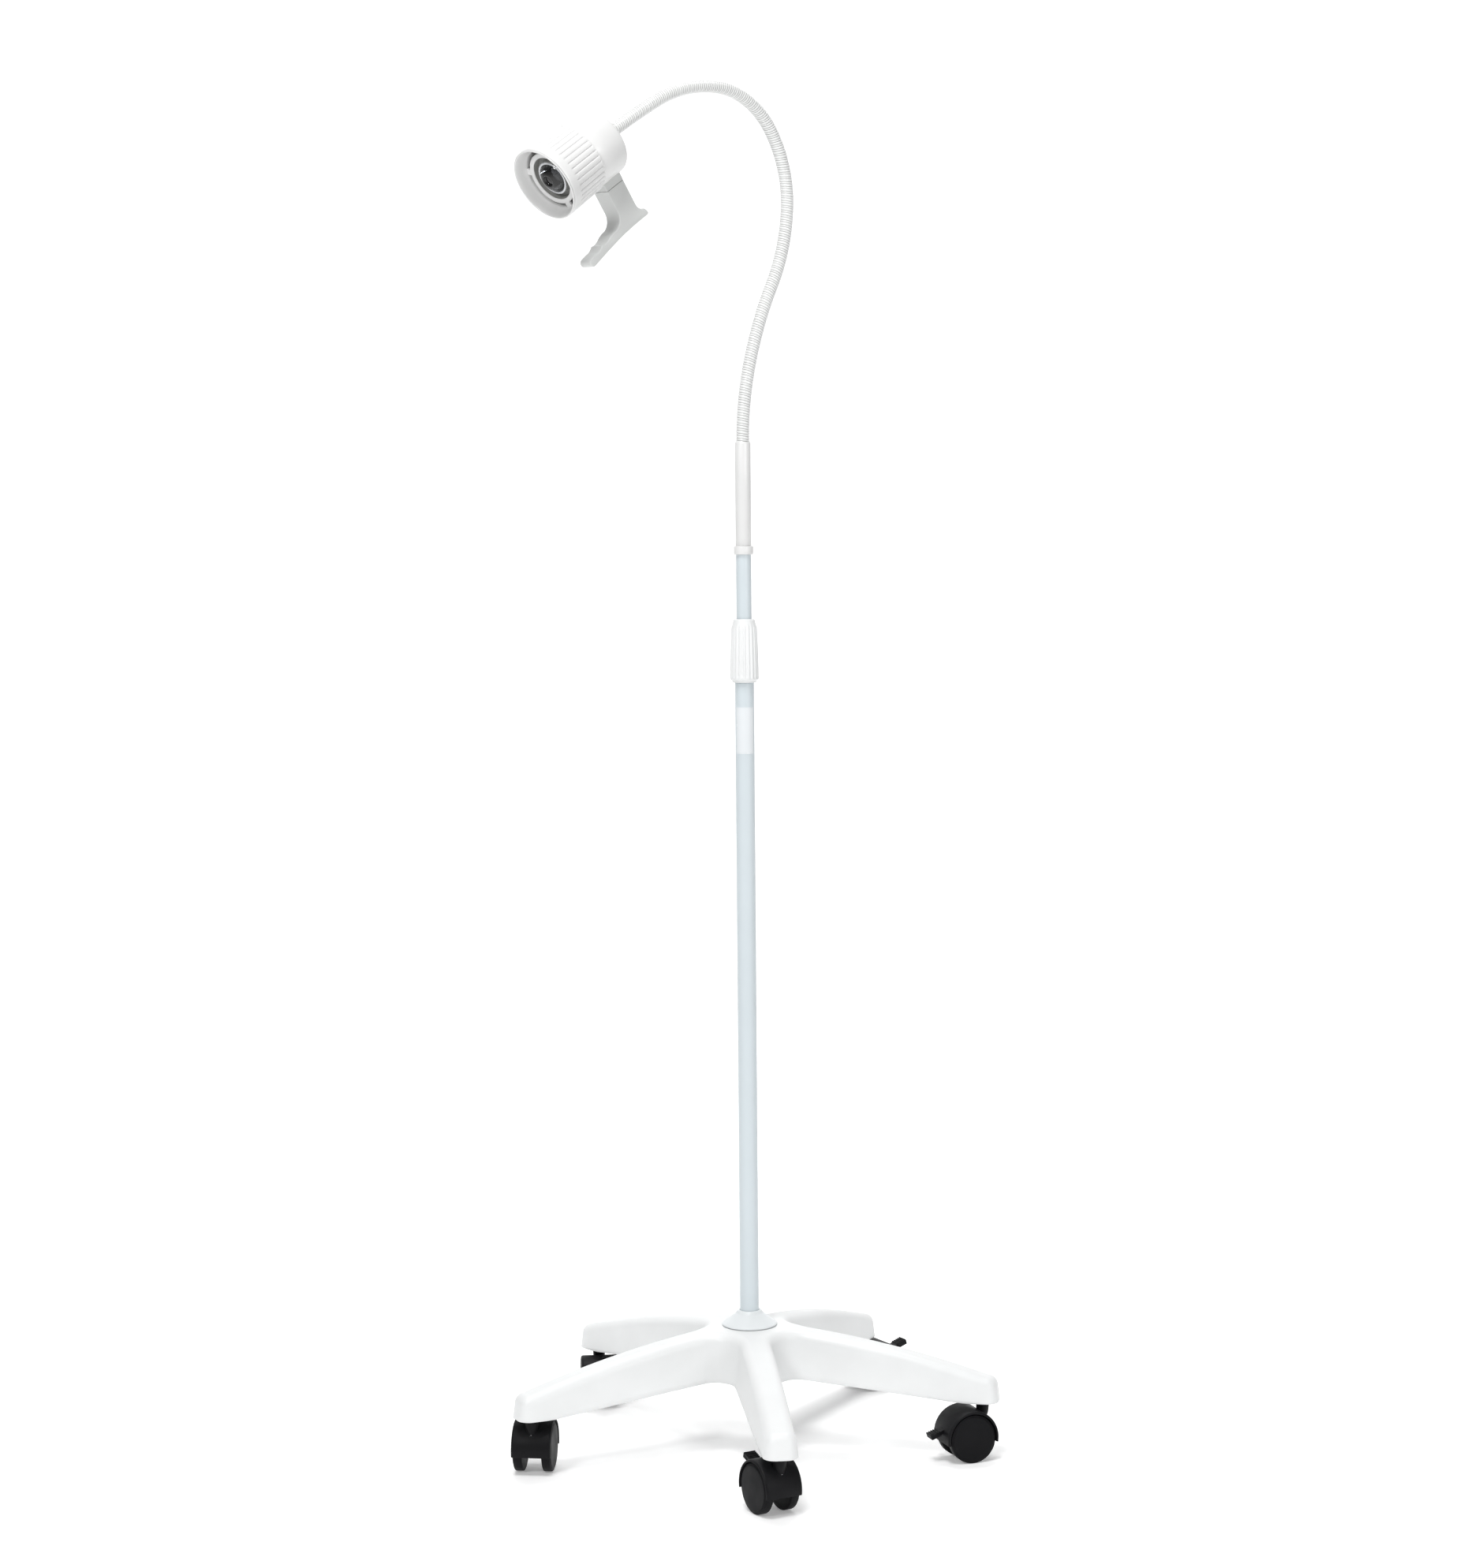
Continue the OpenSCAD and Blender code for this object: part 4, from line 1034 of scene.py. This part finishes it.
def build_stage():
    mat, tree, shader = new_material("floor_pale", (0.93, 0.93, 0.93), 0.7)
    tone = ramp(tree, noise(tree, 3, 3), (0.92, 0.92, 0.92), (0.94, 0.94, 0.94))
    tree.links.new(tone, shader.inputs["Base Color"])
    bump(tree, shader, noise(tree, 200, 2), 0.05, 0.0002)
    shader.inputs["Emission Color"].default_value = (1, 1, 1, 1)
    shader.inputs["Emission Strength"].default_value = 0.20
    mesh = bpy.data.meshes.new("floor")
    half, back, bend, high = 16.0, 3.5, 1.5, 9.0
    rows = [(-16.0, 0.0), (back, 0.0)]
    rows += [(back + bend * math.sin(a), bend * (1 - math.cos(a)))
             for a in (math.pi / 2 * s / 12 for s in range(1, 13))]
    rows.append((back + bend, high))
    points = [(x, y, z) for y, z in rows for x in (-half, half)]
    mesh.from_pydata(points, [], grid_faces(len(rows), 2, wrap_columns=False))
    mesh.polygons.foreach_set("use_smooth", [True] * len(mesh.polygons))
    mesh.materials.append(mat)
    floor = bpy.data.objects.new("floor", mesh)
    bpy.context.scene.collection.objects.link(floor)

    world = bpy.data.worlds.new("studio")
    bpy.context.scene.world = world
    world.use_nodes = True
    world.node_tree.nodes["Background"].inputs["Color"].default_value = (0.985, 0.992, 1, 1)
    world.node_tree.nodes["Background"].inputs["Strength"].default_value = 0.24
    area_light("key_light", (-0.5, -1.5, 3.7), (0, 0, 0.7), 1.2, 66)
    area_light("fill_light", (2.4, -2.8, 1.5), (0, 0, 0.8), 1.4, 30)
    area_light("left_light", (-1.7, -2.8, 2.3), (0, 0, 1.0), 0.6, 34)
    area_light("back_light", (0, 1.2, 3.4), (0, 4.0, 0.6), 2.0, 90)
    bpy.context.scene.view_settings.view_transform = "Standard"


def area_light(name, place, target, size, watts):
    data = bpy.data.lights.new(name, "AREA")
    data.shape = "DISK"
    data.size = size
    data.energy = watts
    light = bpy.data.objects.new(name, data)
    light.location = place
    aim = Vector(target) - Vector(place)
    light.rotation_euler = aim.to_track_quat("-Z", "Y").to_euler()
    bpy.context.scene.collection.objects.link(light)


def build_camera():
    """A camera at chest height that looks level, with the frame shifted down to the floor."""
    data = bpy.data.cameras.new("camera")
    data.sensor_width = 36
    data.lens = 76.98
    data.shift_y = -0.191
    data.clip_end = 50
    camera = bpy.data.objects.new("camera", data)
    camera.location = (-0.0058, -3.543, 1.015)
    camera.rotation_euler = (math.radians(90), math.radians(0.45), 0)
    bpy.context.scene.collection.objects.link(camera)
    bpy.context.scene.camera = camera


build_camera()
build_star()
build_hub_cap()
build_casters()
build_pole()
build_gooseneck()
build_head()
dress_nodes()
build_stage()
